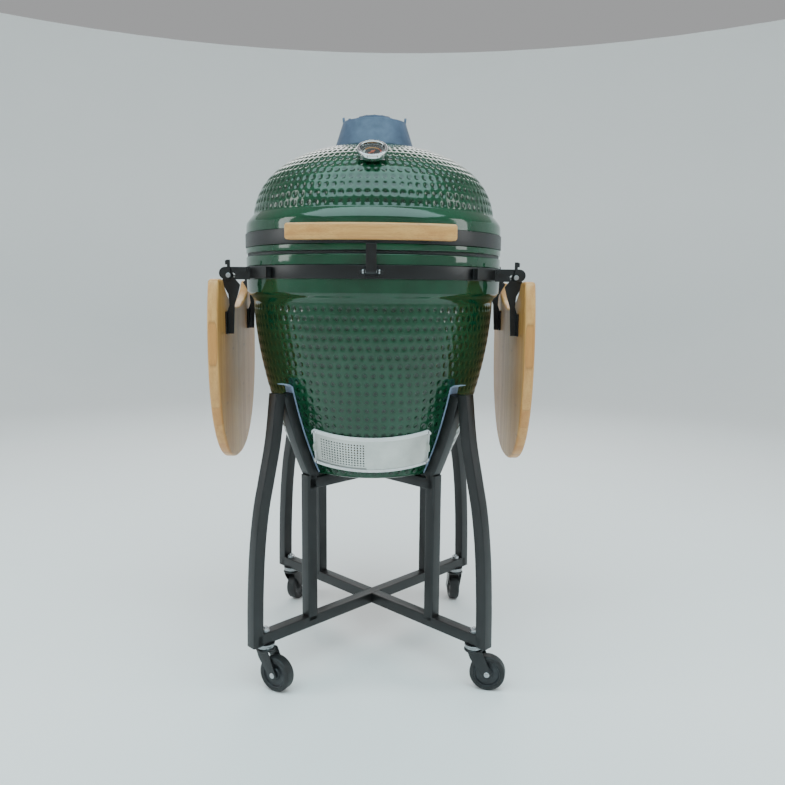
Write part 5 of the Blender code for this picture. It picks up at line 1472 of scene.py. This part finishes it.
# %% [markdown]
# ## Studio
# A pale floor, one large soft light above and in front, a softer one at each side and a dim
# even surround. A glossy glaze shows the shape of its lights, so the main one is broad: it gives
# the dome its wide pale reflection.

# %% Floor and lights
# the floor sweeps up into a wall all round, so that no horizon shows from any side
FLOOR_PAINT = new_material("matt_studio_paint", "#F6F6F5", 0.9)
floor_cloud = noise(FLOOR_PAINT, 600, place_of(FLOOR_PAINT), 2.0)
join_to(FLOOR_PAINT, "Base Color", mixed(FLOOR_PAINT, floor_cloud, "#F4F4F3", "#F8F8F7"))
FLOOR_R, SWEEP_R, WALL_TOP, FLOOR_Z = 4.0, 1.6, 3.0, -0.0002
sweep_turns = [math.radians(9 * i) for i in range(1, 11)]
sweep = [(FLOOR_R + SWEEP_R * math.sin(t), SWEEP_R - SWEEP_R * math.cos(t)) for t in sweep_turns]
cove_line = [(0.0, FLOOR_Z), (FLOOR_R, FLOOR_Z), *sweep, (FLOOR_R + SWEEP_R, WALL_TOP)]
cove_mesh = coated(turned("studio_cove", cove_line, 96, closed=False), FLOOR_PAINT)
studio_floor = bpy.data.objects.new("studio_cove", cove_mesh)
studio_floor.data.shade_smooth()
bpy.context.scene.collection.objects.link(studio_floor)
studio_floor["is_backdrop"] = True
EGG_MIDDLE = Vector((0.0, 0.0, (EGG_BOTTOM + CAP_TOP_Z) / 2))


def soft_light(name, place, width, height, power, colour):
    """A rectangular soft light in watts, turned to the middle of the egg."""
    lamp = bpy.data.lights.new(name, "AREA")
    lamp.shape = "RECTANGLE"
    lamp.size, lamp.size_y = width, height
    lamp.energy = power
    lamp.color = linear(colour)[:3]
    made = bpy.data.objects.new(name, lamp)
    bpy.context.scene.collection.objects.link(made)
    made.location = place
    made.rotation_mode = "QUATERNION"
    made.rotation_quaternion = (EGG_MIDDLE - Vector(place)).to_track_quat("-Z", "Y")
    return made


soft_light("overhead_front", (0.0, -1.1, 3.1), 4.4, 2.6, 150, "#CFF3FA")
soft_light("left_fill", (-3.4, -0.6, 1.9), 0.8, 2.0, 26, "#FFFFFF")
soft_light("right_fill", (3.4, -0.6, 1.9), 0.8, 2.0, 22, "#FFFFFF")
soft_light("rear_wash", (0.0, 2.6, 3.0), 3.2, 1.6, 60, "#FFFFFF")
world = bpy.data.worlds.new("studio_surround")
world.use_nodes = True
world.node_tree.nodes["Background"].inputs["Color"].default_value = linear("#F4F5F6")
world.node_tree.nodes["Background"].inputs["Strength"].default_value = 0.42
bpy.context.scene.world = world
print("lights:", len(bpy.data.lights))

# %% Camera
CAMERA_AT = Vector((0.028, -1.730, 0.84))
LOOK = Vector((0.0099, 0.9907, -0.1361)).normalized()
ROLL = 0.0093
camera_data = bpy.data.cameras.new("camera")
camera_data.lens = 34.55
camera_data.sensor_width = 36.0
camera = bpy.data.objects.new("camera", camera_data)
bpy.context.scene.collection.objects.link(camera)
aim = LOOK.to_track_quat("-Z", "Y").to_matrix().to_4x4()
camera.matrix_world = Matrix.Translation(CAMERA_AT) @ aim @ Matrix.Rotation(ROLL, 4, "Z")
bpy.context.scene.camera = camera

# %% Sizes and the end
low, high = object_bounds()
print("visual box, mm:", [round(v * 1000, 1) for v in (*low, *high)])
